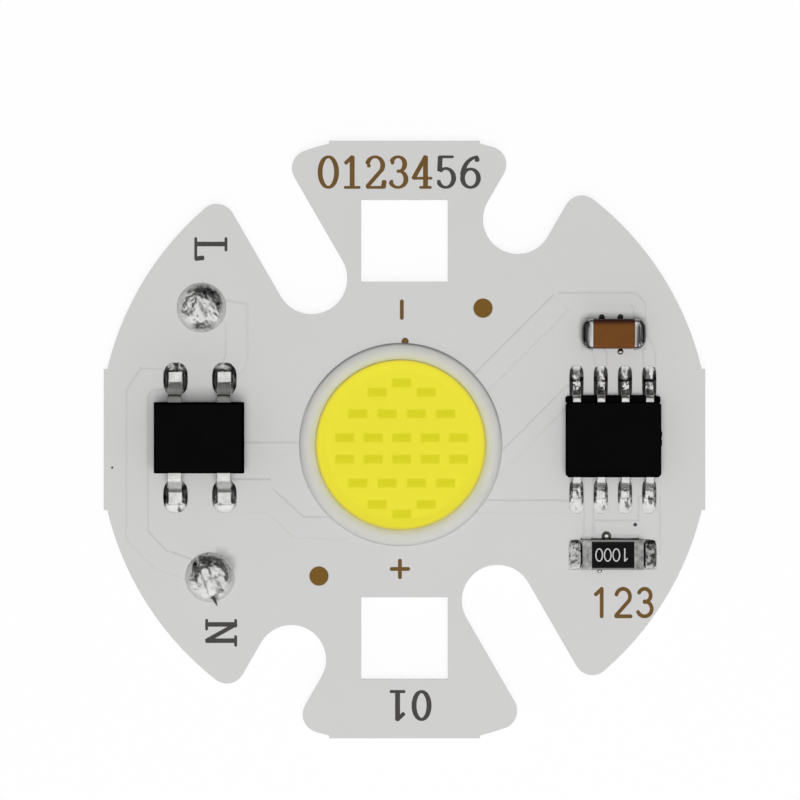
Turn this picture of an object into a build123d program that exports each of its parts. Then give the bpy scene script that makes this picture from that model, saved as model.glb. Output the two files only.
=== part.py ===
from build123d import *
import os
from math import cos, hypot, radians, sin

# LED module: a slotted round aluminium board that carries an LED array inside a silicone dam,
# a bridge rectifier, a driver circuit, a capacitor, a resistor and two wire pads.
# Millimetres. The origin is the centre of the board's back face and +Z leaves the lit side.

# Board outline
board_diameter = 32.0
side_flat_depth = 0.25  # cut from the rim at the left and right
end_flat_depth = 0.35  # cut from the rim at the top and bottom
side_stub_width = 7.4  # panel-tab stubs left standing at the flats
end_stub_width = 7.9
slot_width = 3.74  # deep screw slots
slot_bearing = 120.0
slot_depth = 6.26  # from the rim to the centre of the slot's round end
scallop_width = 3.64  # shallow screw notches
scallop_direction = 60.0
scallop_bearing = 62.8
scallop_depth = 3.03
tip_radius = 0.95  # rounding where the notches meet the rim
window_web = 0.73  # of board between a window and the slot beside it
window_width = 4.3
window_inset = 5.23  # from the end flat to the window's centre

# Layers of the board, from the back
core_thickness = 0.9
dielectric_thickness = 0.1
copper_thickness = 0.035
mask_thickness = 0.025
pad_corner_cut = 0.3  # of a pad's width
opening_clearance = 0.02  # mask opening round the pad that it bares
fiducial_diameter = 1.0
fiducial_places = ((4.11, 6.88), (-4.48, -7.15))

# LED array
array_centre = (-0.2, -0.27)
dam_outer_radius = 5.33
dam_width = 1.0
dam_sides = 10  # flats round the bead, of which half stand above the mask
gel_height = 0.285
chip_field_centre = (-0.15, -0.47)
chip_length = 0.99
chip_width = 0.455
chip_thickness = 0.15
chip_rows = ((1, 0.0, 3.435), (2, 2.57, 2.94), (4, 1.53, 1.81), (5, 1.49, 0.56))  # count, pitch, height
die_pad_margin = 0.61  # from the die pads to the dam
die_pad_split = 0.56
land_margin = 0.16  # from the dam to the lands that feed the first and the last chip
wire_thickness = 0.04
wire_rise = 0.08
wire_inset = 0.12

# Bridge rectifier
rectifier_centre = (-10.71, 0.1)
rectifier_length = 4.72
rectifier_width = 3.72
rectifier_height = 2.4
rectifier_pitch = 2.56
rectifier_lead_width = 0.7
rectifier_lead_thickness = 0.22
rectifier_toe = 3.43
rectifier_foot = 0.62
rectifier_shoulder = 0.3
rectifier_bend = 0.26
rectifier_pad_width = 1.28
rectifier_pad_length = 1.72
rectifier_pad_end = 3.92

# Driver circuit
driver_centre = (10.91, 0.0)
driver_length = 5.0
driver_width = 3.95
driver_height = 1.45
driver_pitch = 1.27
driver_pin_count = 8
driver_lead_width = 0.42
driver_lead_thickness = 0.2
driver_toe = 3.02
driver_foot = 0.5
driver_shoulder = 0.2
driver_bend = 0.2
driver_pad_width = 0.74
driver_pad_length = 1.76
driver_pad_end = 3.86
driver_corner_cut = 0.15
driver_bevel = 0.35
driver_dimple_radius = 0.4
driver_dimple_depth = 0.06
driver_dimple_inset = 1.05

# Moulded bodies
standoff = 0.1
mould_draft = 6.0
lead_embedment = 0.6

# Chip capacitor and chip resistor
plating_thickness = 0.05
capacitor_centre = (10.93, 5.53)
capacitor_length = 3.2
capacitor_width = 1.66
capacitor_height = 1.25
capacitor_band = 0.52
capacitor_edge_radius = 0.2
capacitor_ceramic_cut = 0.12
capacitor_solder_reach = 0.1
capacitor_solder_height = 0.7
resistor_centre = (10.9, -6.03)
resistor_length = 3.2
resistor_width = 1.56
resistor_base_height = 0.5
resistor_band = 0.5
resistor_film_width = 1.0
resistor_film_thickness = 0.02
resistor_coat_width = 1.36
resistor_coat_thickness = 0.07
resistor_solder_reach = 0.7
resistor_solder_height = 0.48

# Wire pads: live above, neutral below
live_centre = (-10.63, 6.91)
neutral_centre = (-10.18, -7.2)
wire_pad_radius = 1.29
wire_solder_height = 0.85

# Copper tracks
land_width = 0.2
bridge_width = 0.3  # return track under the array
signal_width = 0.45
block_width = 0.6
power_width = 0.95
rim_track_inset = 1.75  # from the left flat to the middle of the neutral track

# Heights that follow from the layers
dielectric_top = core_thickness + dielectric_thickness
pad_top = dielectric_top + copper_thickness
mask_top = dielectric_top + mask_thickness
relief_top = pad_top + mask_thickness
chip_top = pad_top + chip_thickness

# Spans that follow from the rim and the dam
side_flat_span = board_diameter - 2 * side_flat_depth
end_flat_span = board_diameter - 2 * end_flat_depth
slot_centre_distance = board_diameter / 2 - slot_depth
scallop_centre_distance = board_diameter / 2 - scallop_depth
window_length = 2 * (slot_centre_distance * abs(cos(radians(slot_bearing))) - slot_width / 2 - window_web)
window_distance = end_flat_span / 2 - window_inset
dam_inner_radius = dam_outer_radius - dam_width
dam_crest_radius = dam_outer_radius - dam_width / 2
die_pad_radius = dam_inner_radius - die_pad_margin
upper_land_height = array_centre[1] + dam_inner_radius - land_margin
lower_land_height = array_centre[1] - dam_inner_radius + land_margin


def polar(distance, bearing):
    return distance * cos(radians(bearing)), distance * sin(radians(bearing))


def moved(centre, dx, dy):
    return centre[0] + dx, centre[1] + dy


def slab(sketch, bottom, top):
    """Flat layer of a sketch between two heights."""
    with BuildPart() as layer:
        with BuildSketch(Plane.XY.offset(bottom)):
            add(sketch)
        extrude(amount=top - bottom)
    return layer.part


# Board outline: a clipped disc with stubs at its flats, two slots, two notches and two windows
def open_notch(distance, bearing, direction, width):
    """Round-ended notch whose straight sides run outward past the rim."""
    near = Vector(*polar(distance, bearing))
    far = near + Vector(*polar(board_diameter / 2, direction))
    with Locations((near + far) / 2):
        SlotCenterToCenter((far - near).length, width, rotation=direction, mode=Mode.SUBTRACT)


def board_outline():
    with BuildSketch() as outline:
        Circle(board_diameter / 2)
        Rectangle(side_flat_span, end_flat_span, mode=Mode.INTERSECT)
        for turn in (0, 180):
            open_notch(slot_centre_distance, slot_bearing + turn, slot_bearing + turn, slot_width)
            open_notch(
                scallop_centre_distance,
                scallop_bearing + turn,
                scallop_direction + turn,
                scallop_width,
            )
        tips = [
            corner
            for corner in outline.vertices()
            if abs(Vector(*corner).length - board_diameter / 2) < 0.01
            and abs(corner.X) < side_flat_span / 2 - 1
            and abs(corner.Y) < end_flat_span / 2 - 0.5
        ]
        fillet(tips, tip_radius)
        for side in (1, -1):
            with Locations((side * (side_flat_span - side_flat_depth) / 2, 0)):
                Rectangle(side_flat_depth, side_stub_width)
            with Locations((0, side * (end_flat_span - end_flat_depth) / 2)):
                Rectangle(end_stub_width, end_flat_depth)
        with Locations((0, window_distance), (0, -window_distance)):
            Rectangle(window_length, window_width, mode=Mode.SUBTRACT)
    return outline.sketch


# Places of pads, as centre, length along X and length along Y
def lead_pads(centre, pitch, pins, pad_width, pad_length, pad_end):
    """Two rows of pads on both sides of a moulded body."""
    reach = pad_end - pad_length / 2
    across = [(i - (pins - 1) / 2) * pitch for i in range(pins)]
    return [(moved(centre, dx, side * reach), pad_width, pad_length) for side in (1, -1) for dx in across]


def chip_pads(centre, length, band, reach, width):
    """One pad at each end of a chip part, under its terminal and its solder."""
    offset_x = (length + reach - band) / 2
    return [(moved(centre, side * offset_x, 0), reach + band, width) for side in (-1, 1)]


rectifier_pads = lead_pads(
    rectifier_centre, rectifier_pitch, 2, rectifier_pad_width, rectifier_pad_length, rectifier_pad_end
)
driver_pads = lead_pads(
    driver_centre, driver_pitch, driver_pin_count // 2, driver_pad_width, driver_pad_length, driver_pad_end
)
capacitor_pads = chip_pads(
    capacitor_centre, capacitor_length, capacitor_band, capacitor_solder_reach, capacitor_width
)
resistor_pads = chip_pads(
    resistor_centre, resistor_length, resistor_band, resistor_solder_reach, resistor_width
)


def cut_corner_pad(length, width):
    """Rectangle with its corners cut, as narrow pads have."""
    with BuildSketch() as pad:
        Rectangle(length, width)
        chamfer(pad.vertices(), pad_corner_cut * length)
    add(pad.sketch)


def pad_shapes(clearance=0.0):
    """Outlines of every pad and fiducial, or of the mask openings a clearance wider."""
    for centre, length, width in rectifier_pads + driver_pads:
        with Locations(centre):
            cut_corner_pad(length + 2 * clearance, width + 2 * clearance)
    for centre, length, width in capacitor_pads + resistor_pads:
        with Locations(centre):
            Rectangle(length + 2 * clearance, width + 2 * clearance)
    with Locations(live_centre, neutral_centre):
        Circle(wire_pad_radius + clearance)
    with Locations(*fiducial_places):
        Circle(fiducial_diameter / 2 + clearance)


def track_shapes(growth=0.0):
    """Every copper track, or the wider band of lacquer that rises over it."""

    def track(width, *stops):
        with BuildLine():
            run = Polyline(*stops)
        trace(run, line_width=width + 2 * growth)

    neutral_pin, live_pin, return_pin, supply_pin = (pad[0] for pad in rectifier_pads)
    north_row = [pad[0] for pad in driver_pads[: driver_pin_count // 2]]
    south_row = [pad[0] for pad in driver_pads[driver_pin_count // 2 :]]
    capacitor_west, capacitor_east = (pad[0] for pad in capacitor_pads)
    resistor_west, resistor_east = (pad[0] for pad in resistor_pads)
    crossing = chip_field_centre[1]
    array_west = (array_centre[0] - dam_inner_radius, crossing)
    array_east = (array_centre[0] + dam_inner_radius, crossing)
    with BuildSketch() as tracks:
        # Array to the capacitor, round its far side, and on to the driver
        leaving = moved(array_centre, *polar(dam_inner_radius, 36))
        bypass = capacitor_centre[1] + 1.83
        rise = bypass - leaving[1]
        knee = (leaving[0] - 2.2, upper_land_height)
        track(land_width, (array_centre[0] - 0.3, upper_land_height), knee, moved(leaving, 0.2, 0.2))
        track(power_width, leaving, moved(leaving, rise - 0.2, rise - 0.2))
        corner = (capacitor_east[0], bypass)
        track(
            signal_width,
            moved(leaving, rise - 0.3, rise),
            moved(corner, -0.35, 0),
            moved(corner, 0, -0.35),
            capacitor_east,
        )
        track(signal_width, capacitor_east, moved(north_row[-1], 0, 1.6), north_row[-1])
        track(signal_width, capacitor_west, moved(north_row[1], 0, 1.5), north_row[1])

        # Rectifier's return under the array to the driver, and on to the resistor
        diagonal_run = 4.28
        foot = moved(north_row[0], -diagonal_run, -diagonal_run - 0.23)
        gap_x = south_row[0][0] + driver_pitch / 2
        track(signal_width, return_pin, (rectifier_centre[0], crossing), moved(array_west, 0.1, 0))
        track(bridge_width, array_west, moved(array_east, 0.1, 0))
        track(block_width, moved(array_east, -0.2, 0), foot, moved(north_row[0], 0, -0.23))
        track(
            bridge_width,
            moved(north_row[0], 0, -0.6),
            (north_row[0][0], driver_centre[1] - 1.2),
            (gap_x, driver_centre[1] - 1.9),
            (gap_x, resistor_centre[1] + 1.1),
            resistor_west,
        )

        # Rectifier's supply to the array, and the array to the driver
        block_end = moved(supply_pin, 2.43, 0)
        feed = (-2.7, lower_land_height - 0.18)
        track(rectifier_pad_length - 0.15, supply_pin, block_end)
        track(power_width, moved(block_end, -0.2, -0.1), (block_end[0] + 1.5, feed[1]), feed)
        outlet = moved(south_row[0], 0, -0.52)
        track(
            land_width,
            (feed[0] - 0.1, lower_land_height),
            (array_centre[0] + 0.8, lower_land_height),
            (array_centre[0] + 3.6, outlet[1]),
        )
        track(signal_width, (array_centre[0] + 3.5, outlet[1]), outlet)

        # Driver to the resistor
        last = south_row[-1]
        block_start = moved(resistor_centre, -0.95, 1.4)
        track(power_width, last, (last[0], resistor_east[1]))
        track(block_width, block_start, (last[0] + power_width / 2, block_start[1]))

        # Wire pads to the rectifier
        live_x = live_pin[0] + 0.63
        rim_x = rim_track_inset - side_flat_span / 2
        track(power_width, live_centre, (live_x, live_centre[1] - 0.3), (live_x, live_pin[1] + 1), live_pin)
        track(
            power_width,
            neutral_pin,
            (rim_x + 0.5, neutral_pin[1]),
            (rim_x, neutral_pin[1] - 0.76),
            (rim_x, neutral_centre[1] + 2.2),
            moved(neutral_centre, -2.6, 0.9),
            neutral_centre,
        )
    return tracks.sketch


def die_pads():
    """Two half discs under the chips, with the return track between them."""
    with BuildSketch() as halves:
        with Locations(chip_field_centre):
            Circle(die_pad_radius)
            Rectangle(2 * die_pad_radius, die_pad_split, mode=Mode.SUBTRACT)
    return halves.sketch


def flat_shapes(draw, *sizes):
    with BuildSketch() as shapes:
        draw(*sizes)
    return shapes.sketch


outline = board_outline()
with BuildSketch() as array_window:
    with Locations(array_centre):
        Circle(dam_inner_radius)
board_core = slab(outline, 0, core_thickness)
dielectric_layer = slab(outline, core_thickness, dielectric_top)
copper_sketch = flat_shapes(pad_shapes) + track_shapes() + die_pads()
copper_layer = slab(copper_sketch, dielectric_top, pad_top)
raised_mask = slab(track_shapes(mask_thickness), dielectric_top, relief_top)
opening_sketch = flat_shapes(pad_shapes, opening_clearance) + array_window.sketch
openings = slab(opening_sketch, dielectric_top, relief_top)
solder_mask = slab(outline, dielectric_top, mask_top) + raised_mask - copper_layer - openings


# LED array: chips in mirrored rows, joined in one chain by bond wires
def chip_chain():
    """Chip centres in the order of the chain, each with the direction the chain runs through it."""
    rows = list(chip_rows) + [(count, pitch, -height) for count, pitch, height in reversed(chip_rows)]
    chain = []
    heading = -1
    for count, pitch, height in rows:
        across = [(i - (count - 1) / 2) * pitch * heading for i in range(count)]
        chain += [(moved(chip_field_centre, dx, height), heading) for dx in across]
        heading = -heading
    return chain


def bond_wire(start, end):
    """Thin arch between two landings, standing in the vertical plane through both."""
    span = end - start
    flat = hypot(span.X, span.Y)
    upright = Plane(origin=start, x_dir=(span.X, span.Y, 0), z_dir=(span.Y, -span.X, 0))
    crest = max(span.Z, 0) + wire_rise
    with BuildPart() as wire:
        with BuildSketch(upright):
            with BuildLine():
                Polyline(
                    (0, 0),
                    (0.3 * flat, crest),
                    (flat, span.Z),
                    (flat - wire_thickness, span.Z),
                    (0.3 * flat, crest - wire_thickness),
                    (wire_thickness, 0),
                    close=True,
                )
            make_face()
        extrude(amount=wire_thickness / 2, both=True)
    return wire.part


chain = chip_chain()
with BuildPart() as chip_field:
    for centre, _ in chain:
        with Locations((*centre, pad_top)):
            Box(chip_length, chip_width, chip_thickness, align=(Align.CENTER, Align.CENTER, Align.MIN))
led_chips = chip_field.part

bond_reach = chip_length / 2 - wire_inset
wire_ends = [Vector(array_centre[0], upper_land_height, pad_top)]
for centre, heading in chain:
    wire_ends.append(Vector(*moved(centre, -heading * bond_reach, 0), chip_top))
    wire_ends.append(Vector(*moved(centre, heading * bond_reach, 0), chip_top))
wire_ends.append(Vector(array_centre[0], lower_land_height, pad_top))
with BuildPart() as wires:
    for start, end in zip(wire_ends[::2], wire_ends[1::2]):
        add(bond_wire(start, end))
bond_wires = wires.part

# Dam: a bead laid round the array on the mask, its round section drawn with a few flats
with BuildPart() as dam:
    with BuildSketch(Plane.XZ):
        with Locations((dam_crest_radius, mask_top)):
            RegularPolygon(dam_width / 2, dam_sides)
            Rectangle(dam_width, dam_width, align=(Align.CENTER, Align.MAX), mode=Mode.SUBTRACT)
    revolve(axis=Axis.Z)
dam_ring = Pos(*array_centre) * dam.part - raised_mask

# Gel: fills the dam from the die pads up to its own level
with BuildPart() as gel:
    with Locations((*array_centre, dielectric_top)):
        Cylinder(
            dam_inner_radius,
            mask_thickness,
            align=(Align.CENTER, Align.CENTER, Align.MIN),
        )
    with Locations((*array_centre, mask_top)):
        Cylinder(
            dam_crest_radius,
            gel_height,
            align=(Align.CENTER, Align.CENTER, Align.MIN),
        )
    for solid in (dam_ring, solder_mask, copper_layer, led_chips, bond_wires):
        add(solid, mode=Mode.SUBTRACT)
phosphor_gel = gel.part


# Moulded bodies and their gull-wing leads
def moulded_body(length, width, height, corner_cut):
    """Body drafted both ways from its parting line, at half height."""
    parting = pad_top + standoff + height / 2
    with BuildPart() as body:
        for direction in (1, -1):
            with BuildSketch(Plane((0, 0, parting), z_dir=(0, 0, direction))):
                Rectangle(length, width)
                if corner_cut:
                    chamfer(vertices(), corner_cut)
            extrude(amount=height / 2, taper=mould_draft)
    return body.part


def gull_wing_lead(body_width, body_height, width, thickness, toe, foot, shoulder, bend):
    """Sheet lead that leaves the parting line, bends down to the pad and ends in a flat foot."""
    leaving = pad_top + standoff + body_height / 2
    resting = pad_top + thickness / 2
    with BuildPart() as lead:
        with BuildSketch(Plane.YZ):
            with BuildLine():
                run = FilletPolyline(
                    (body_width / 2 - lead_embedment, leaving),
                    (body_width / 2 + shoulder, leaving),
                    (toe - foot, resting),
                    (toe, resting),
                    radius=bend,
                )
            trace(run, line_width=thickness)
        extrude(amount=width / 2, both=True)
    return lead.part


def gull_wing_solder(lead, pad_width, pad_length, pad_end, width, thickness, toe, foot):
    """Solder that slopes from the pad's rim up to the lead's foot on all four sides."""
    crest = pad_top + thickness
    half_crest = 1.15 * width / 2
    with BuildPart() as joint:
        with BuildSketch(Plane.XY.offset(pad_top)):
            with Locations((0, pad_end - pad_length / 2)):
                cut_corner_pad(pad_width, pad_length)
        extrude(amount=thickness)
        with BuildSketch(Plane.YZ):
            with BuildLine():
                Polyline(
                    (pad_end - pad_length, pad_top),
                    (toe - foot - width / 2, crest),
                    (toe + width / 2, crest),
                    (pad_end, pad_top),
                    close=True,
                )
            make_face()
        extrude(amount=pad_width, both=True, mode=Mode.INTERSECT)
        with BuildSketch(Plane.XZ):
            with BuildLine():
                Polyline(
                    (-pad_width / 2, pad_top),
                    (-half_crest, crest),
                    (half_crest, crest),
                    (pad_width / 2, pad_top),
                    close=True,
                )
            make_face()
        extrude(amount=2 * pad_end, both=True, mode=Mode.INTERSECT)
        add(lead, mode=Mode.SUBTRACT)
    return joint.part


def seats(centre, pitch, pins):
    """Places of the leads, counter-clockwise from the lower left."""
    across = [(i - (pins - 1) / 2) * pitch for i in range(pins)]
    lower = [Pos(*moved(centre, dx, 0)) * Rot(0, 0, 180) for dx in across]
    upper = [Pos(*moved(centre, dx, 0)) for dx in reversed(across)]
    return lower + upper


rectifier_lead = gull_wing_lead(
    rectifier_width,
    rectifier_height,
    rectifier_lead_width,
    rectifier_lead_thickness,
    rectifier_toe,
    rectifier_foot,
    rectifier_shoulder,
    rectifier_bend,
)
rectifier_joint = gull_wing_solder(
    rectifier_lead,
    rectifier_pad_width,
    rectifier_pad_length,
    rectifier_pad_end,
    rectifier_lead_width,
    rectifier_lead_thickness,
    rectifier_toe,
    rectifier_foot,
)
rectifier_seats = seats(rectifier_centre, rectifier_pitch, 2)
rectifier_body = Pos(*rectifier_centre) * moulded_body(rectifier_length, rectifier_width, rectifier_height, 0)
for seat in rectifier_seats:
    rectifier_body -= seat * rectifier_lead

driver_lead = gull_wing_lead(
    driver_width,
    driver_height,
    driver_lead_width,
    driver_lead_thickness,
    driver_toe,
    driver_foot,
    driver_shoulder,
    driver_bend,
)
driver_joint = gull_wing_solder(
    driver_lead,
    driver_pad_width,
    driver_pad_length,
    driver_pad_end,
    driver_lead_width,
    driver_lead_thickness,
    driver_toe,
    driver_foot,
)
driver_seats = seats(driver_centre, driver_pitch, driver_pin_count // 2)

# Driver body: bevelled along the edge by pin one, with a shallow round dimple beside it
with BuildPart() as driver:
    add(moulded_body(driver_length, driver_width, driver_height, driver_corner_cut))
    lid = driver.faces().sort_by(Axis.Z)[-1]
    lid_height = lid.center().Z
    bevel_start = lid.bounding_box().min.Y + driver_bevel
    split(bisect_by=Plane((0, bevel_start, lid_height), z_dir=(0, -1, 1)), keep=Keep.BOTTOM)
    with BuildSketch(Plane.XY.offset(lid_height - driver_dimple_depth)):
        with Locations((driver_dimple_inset - driver_length / 2, driver_dimple_inset - driver_width / 2)):
            Circle(driver_dimple_radius)
    extrude(amount=driver_dimple_depth, mode=Mode.SUBTRACT)
driver_body = Pos(*driver_centre) * driver.part
for seat in driver_seats:
    driver_body -= seat * driver_lead


# Chip parts: a ceramic block with plated ends
def end_solder(centre, length, width, reach, height, side):
    """Hollow fillet of solder from a terminal's end face down to the pad's rim."""
    foot = side * length / 2
    with BuildPart() as joint:
        with BuildSketch(Plane.XZ):
            with BuildLine():
                Line((foot, pad_top), (foot + side * reach, pad_top))
                Line((foot, pad_top), (foot, pad_top + height))
                SagittaArc(
                    (foot, pad_top + height), (foot + side * reach, pad_top), -side * 0.15 * height
                )
            make_face()
        extrude(amount=width / 2, both=True)
    return Pos(*centre) * joint.part


def plated_end(block, length, width, height, band, side, radius):
    """Metal cap over one end of a block."""
    with BuildPart() as cap:
        with Locations((side * (length - band) / 2, 0, pad_top)):
            Box(band, width, height, align=(Align.CENTER, Align.CENTER, Align.MIN))
        if radius:
            outer = cap.faces().sort_by(Axis.X)[-1 if side > 0 else 0]
            fillet(outer.edges().filter_by(Axis.Z), radius)
        add(block, mode=Mode.SUBTRACT)
    return cap.part


with BuildPart() as ceramic:
    with Locations((0, 0, pad_top + plating_thickness)):
        Box(
            capacitor_length - 2 * plating_thickness,
            capacitor_width - 2 * plating_thickness,
            capacitor_height - 2 * plating_thickness,
            align=(Align.CENTER, Align.CENTER, Align.MIN),
        )
    chamfer(ceramic.edges().filter_by(Axis.Z), capacitor_ceramic_cut)
capacitor_body = Pos(*capacitor_centre) * ceramic.part

with BuildPart() as base:
    with Locations((0, 0, pad_top + plating_thickness)):
        Box(
            resistor_length - 2 * plating_thickness,
            resistor_width,
            resistor_base_height,
            align=(Align.CENTER, Align.CENTER, Align.MIN),
        )
resistor_base = Pos(*resistor_centre) * base.part

coat_length = resistor_length - 2 * resistor_band
coat_bottom = pad_top + plating_thickness + resistor_base_height
with BuildPart() as film:
    with Locations((*resistor_centre, coat_bottom)):
        Box(
            coat_length,
            resistor_film_width,
            resistor_film_thickness,
            align=(Align.CENTER, Align.CENTER, Align.MIN),
        )
resistor_film = film.part
with BuildPart() as coat:
    with Locations((*resistor_centre, coat_bottom)):
        Box(
            coat_length,
            resistor_coat_width,
            resistor_coat_thickness,
            align=(Align.CENTER, Align.CENTER, Align.MIN),
        )
    add(resistor_film, mode=Mode.SUBTRACT)
resistor_coat = coat.part


# Wire pads: a dome of solder on each round pad
def solder_dome(centre):
    """Dome turned from a profile of two straight flanks under a flat crown."""
    crown = pad_top + wire_solder_height
    with BuildPart() as dome:
        with BuildSketch(Plane.XZ):
            with BuildLine():
                Polyline(
                    (0, pad_top),
                    (wire_pad_radius, pad_top),
                    (0.8 * wire_pad_radius, pad_top + 0.6 * wire_solder_height),
                    (0.35 * wire_pad_radius, crown),
                    (0, crown),
                    close=True,
                )
            make_face()
        revolve(axis=Axis.Z)
    return Pos(*centre) * dome.part


pieces = {
    "board_core": board_core,
    "dielectric_layer": dielectric_layer,
    "copper_layer": copper_layer,
    "solder_mask": solder_mask,
    "dam_ring": dam_ring,
    "phosphor_gel": phosphor_gel,
    "led_chips": led_chips,
    "bond_wires": bond_wires,
    "rectifier_body": rectifier_body,
    "driver_body": driver_body,
    "capacitor_body": capacitor_body,
    "resistor_base": resistor_base,
    "resistor_film": resistor_film,
    "resistor_coat": resistor_coat,
    "live_solder": solder_dome(live_centre),
    "neutral_solder": solder_dome(neutral_centre),
}
for number, seat in enumerate(rectifier_seats, 1):
    pieces[f"rectifier_lead_{number}"] = seat * rectifier_lead
    pieces[f"rectifier_solder_{number}"] = seat * rectifier_joint
for number, seat in enumerate(driver_seats, 1):
    pieces[f"driver_lead_{number}"] = seat * driver_lead
    pieces[f"driver_solder_{number}"] = seat * driver_joint
for name, side in (("west", -1), ("east", 1)):
    pieces[f"capacitor_terminal_{name}"] = Pos(*capacitor_centre) * plated_end(
        ceramic.part,
        capacitor_length,
        capacitor_width,
        capacitor_height,
        capacitor_band,
        side,
        capacitor_edge_radius,
    )
    pieces[f"capacitor_solder_{name}"] = end_solder(
        capacitor_centre,
        capacitor_length,
        capacitor_width - 2 * capacitor_edge_radius,
        capacitor_solder_reach,
        capacitor_solder_height,
        side,
    )
    pieces[f"resistor_terminal_{name}"] = Pos(*resistor_centre) * plated_end(
        base.part,
        resistor_length,
        resistor_width,
        resistor_base_height + 2 * plating_thickness,
        resistor_band,
        side,
        0,
    )
    pieces[f"resistor_solder_{name}"] = end_solder(
        resistor_centre,
        resistor_length,
        resistor_width,
        resistor_solder_reach,
        resistor_solder_height,
        side,
    )

os.makedirs("parts", exist_ok=True)
for name, piece in pieces.items():
    export_step(piece, f"parts/{name}.step")
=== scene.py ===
import bmesh
import bpy
import numpy as np
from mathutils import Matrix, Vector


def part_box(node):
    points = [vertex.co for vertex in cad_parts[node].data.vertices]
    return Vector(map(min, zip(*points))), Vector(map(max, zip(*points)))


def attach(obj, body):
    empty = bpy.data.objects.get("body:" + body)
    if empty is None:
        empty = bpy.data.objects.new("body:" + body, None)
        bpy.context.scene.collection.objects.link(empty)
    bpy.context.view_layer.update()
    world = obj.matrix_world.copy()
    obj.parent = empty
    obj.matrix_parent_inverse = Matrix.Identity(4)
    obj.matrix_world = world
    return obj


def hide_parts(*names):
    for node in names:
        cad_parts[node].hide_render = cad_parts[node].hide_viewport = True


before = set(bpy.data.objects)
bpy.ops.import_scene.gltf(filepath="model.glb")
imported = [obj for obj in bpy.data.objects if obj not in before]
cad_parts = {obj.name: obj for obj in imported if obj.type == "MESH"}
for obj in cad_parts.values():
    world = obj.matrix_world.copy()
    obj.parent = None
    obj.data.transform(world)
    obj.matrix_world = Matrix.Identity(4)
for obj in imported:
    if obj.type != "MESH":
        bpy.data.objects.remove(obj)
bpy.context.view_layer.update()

bl_info = {
    "name": "LED Module Dresser",
    "version": (1, 0, 0),
    "blender": (4, 5, 0),
    "location": "View3D > Sidebar > LED Module",
    "description": "Adds solder, silicone, gel, marks, finishes and a studio to the LED module",
    "category": "Object",
}

MM = 0.001


# Places read from the frame
def node_box(node):
    """Lowest and highest corner of a CAD node as arrays, in metres."""
    low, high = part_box(node)
    return np.array(low), np.array(high)


def node_centre(node):
    low, high = node_box(node)
    return (low + high) / 2


def node_corners(node):
    """All corners of a CAD node's mesh as rows of x, y and z."""
    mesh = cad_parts[node].data
    corners = np.empty(len(mesh.vertices) * 3)
    mesh.vertices.foreach_get("co", corners)
    return corners.reshape(-1, 3)


def chip_rectangles():
    """Centres of the LED chips and their half sizes, from the corners of the chips' top faces."""
    corners = np.unique(np.round(node_corners("led_chips")[:, :2], 7), axis=0)
    heights = np.unique(corners[:, 1])
    half_height = (heights[1] - heights[0]) / 2
    centres = []
    for low in heights[::2]:
        across = np.sort(corners[corners[:, 1] == low, 0])
        middles = (across[::2] + across[1::2]) / 2
        half_length = (across[1] - across[0]) / 2
        centres.append(np.stack([middles, np.full_like(middles, low + half_height)], axis=1))
    return np.concatenate(centres), half_length, half_height


def lead_numbers(body):
    return range(1, LEAD_COUNTS[body] + 1)


def outward_of(body, number):
    """1 for a lead on a body's north side, and -1 for one on its south side."""
    past = node_centre(f"{body}_lead_{number}")[1] - node_centre(f"{body}_body")[1]
    return 1 if past > 0 else -1


def foot_top(lead, outward):
    """Height of the top of a lead's foot, from the corners of its toe's end."""
    corners = node_corners(lead)
    reach = corners[:, 1] * outward
    return corners[reach > reach.max() - 0.01 * MM, 2].max()


PAD_TOP = node_box("live_solder")[0][2]
MASK_TOP = node_box("dam_ring")[0][2]
RELIEF_TOP = node_box("solder_mask")[1][2]
LEAD_COUNTS = {"rectifier": 4, "driver": 8}
FIDUCIALS = ((4.11, 6.88), (-4.48, -7.15))  # centres of the bare copper dots in millimetres


# Settings that a user would change
def color_setting(name, default, description):
    return bpy.props.FloatVectorProperty(
        name=name, description=description, default=default, subtype="COLOR", size=3, min=0, max=1
    )


def length_setting(name, millimetres, description):
    return bpy.props.FloatProperty(
        name=name, description=description, default=millimetres * MM, unit="LENGTH",
        min=0, precision=6,
    )


def share_setting(name, default, description):
    return bpy.props.FloatProperty(
        name=name, description=description, default=default, subtype="FACTOR", min=0, max=1
    )


def level_setting(name, default, description, low=0):
    return bpy.props.FloatProperty(name=name, description=description, default=default, min=low)


class BoardSettings(bpy.types.PropertyGroup):
    lacquer_color: color_setting("Lacquer", (0.595, 0.595, 0.590), "White lacquer over the board")
    track_edge_color: color_setting(
        "Track edges", (0.565, 0.565, 0.560), "Lacquer on the slopes beside the tracks"
    )
    metal_color: color_setting(
        "Core metal", (0.60, 0.61, 0.63), "Aluminium seen on the rim and the back"
    )
    laminate_color: color_setting(
        "Laminate", (0.62, 0.60, 0.50), "Insulating layer seen on the rim"
    )
    brown_mark_color: color_setting("Brown marks", (0.138, 0.076, 0.020), "Brown printed marks")
    copper_color: color_setting(
        "Bare copper", (0.162, 0.084, 0.014), "Browned copper of the fiducial dots"
    )
    grey_mark_color: color_setting(
        "Grey marks", (0.056, 0.054, 0.052), "Dark grey terminal letters"
    )
    tinned_color: color_setting(
        "Tinned pads", (0.54, 0.54, 0.53), "Edge of a tinned pad round its solder"
    )
    fillet_width: length_setting(
        "Track softness", 0.13, "Width of the lacquer's slope beside a raised track"
    )
    mark_thickness: length_setting("Mark thickness", 0.008, "Thickness of a printed mark")


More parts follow.
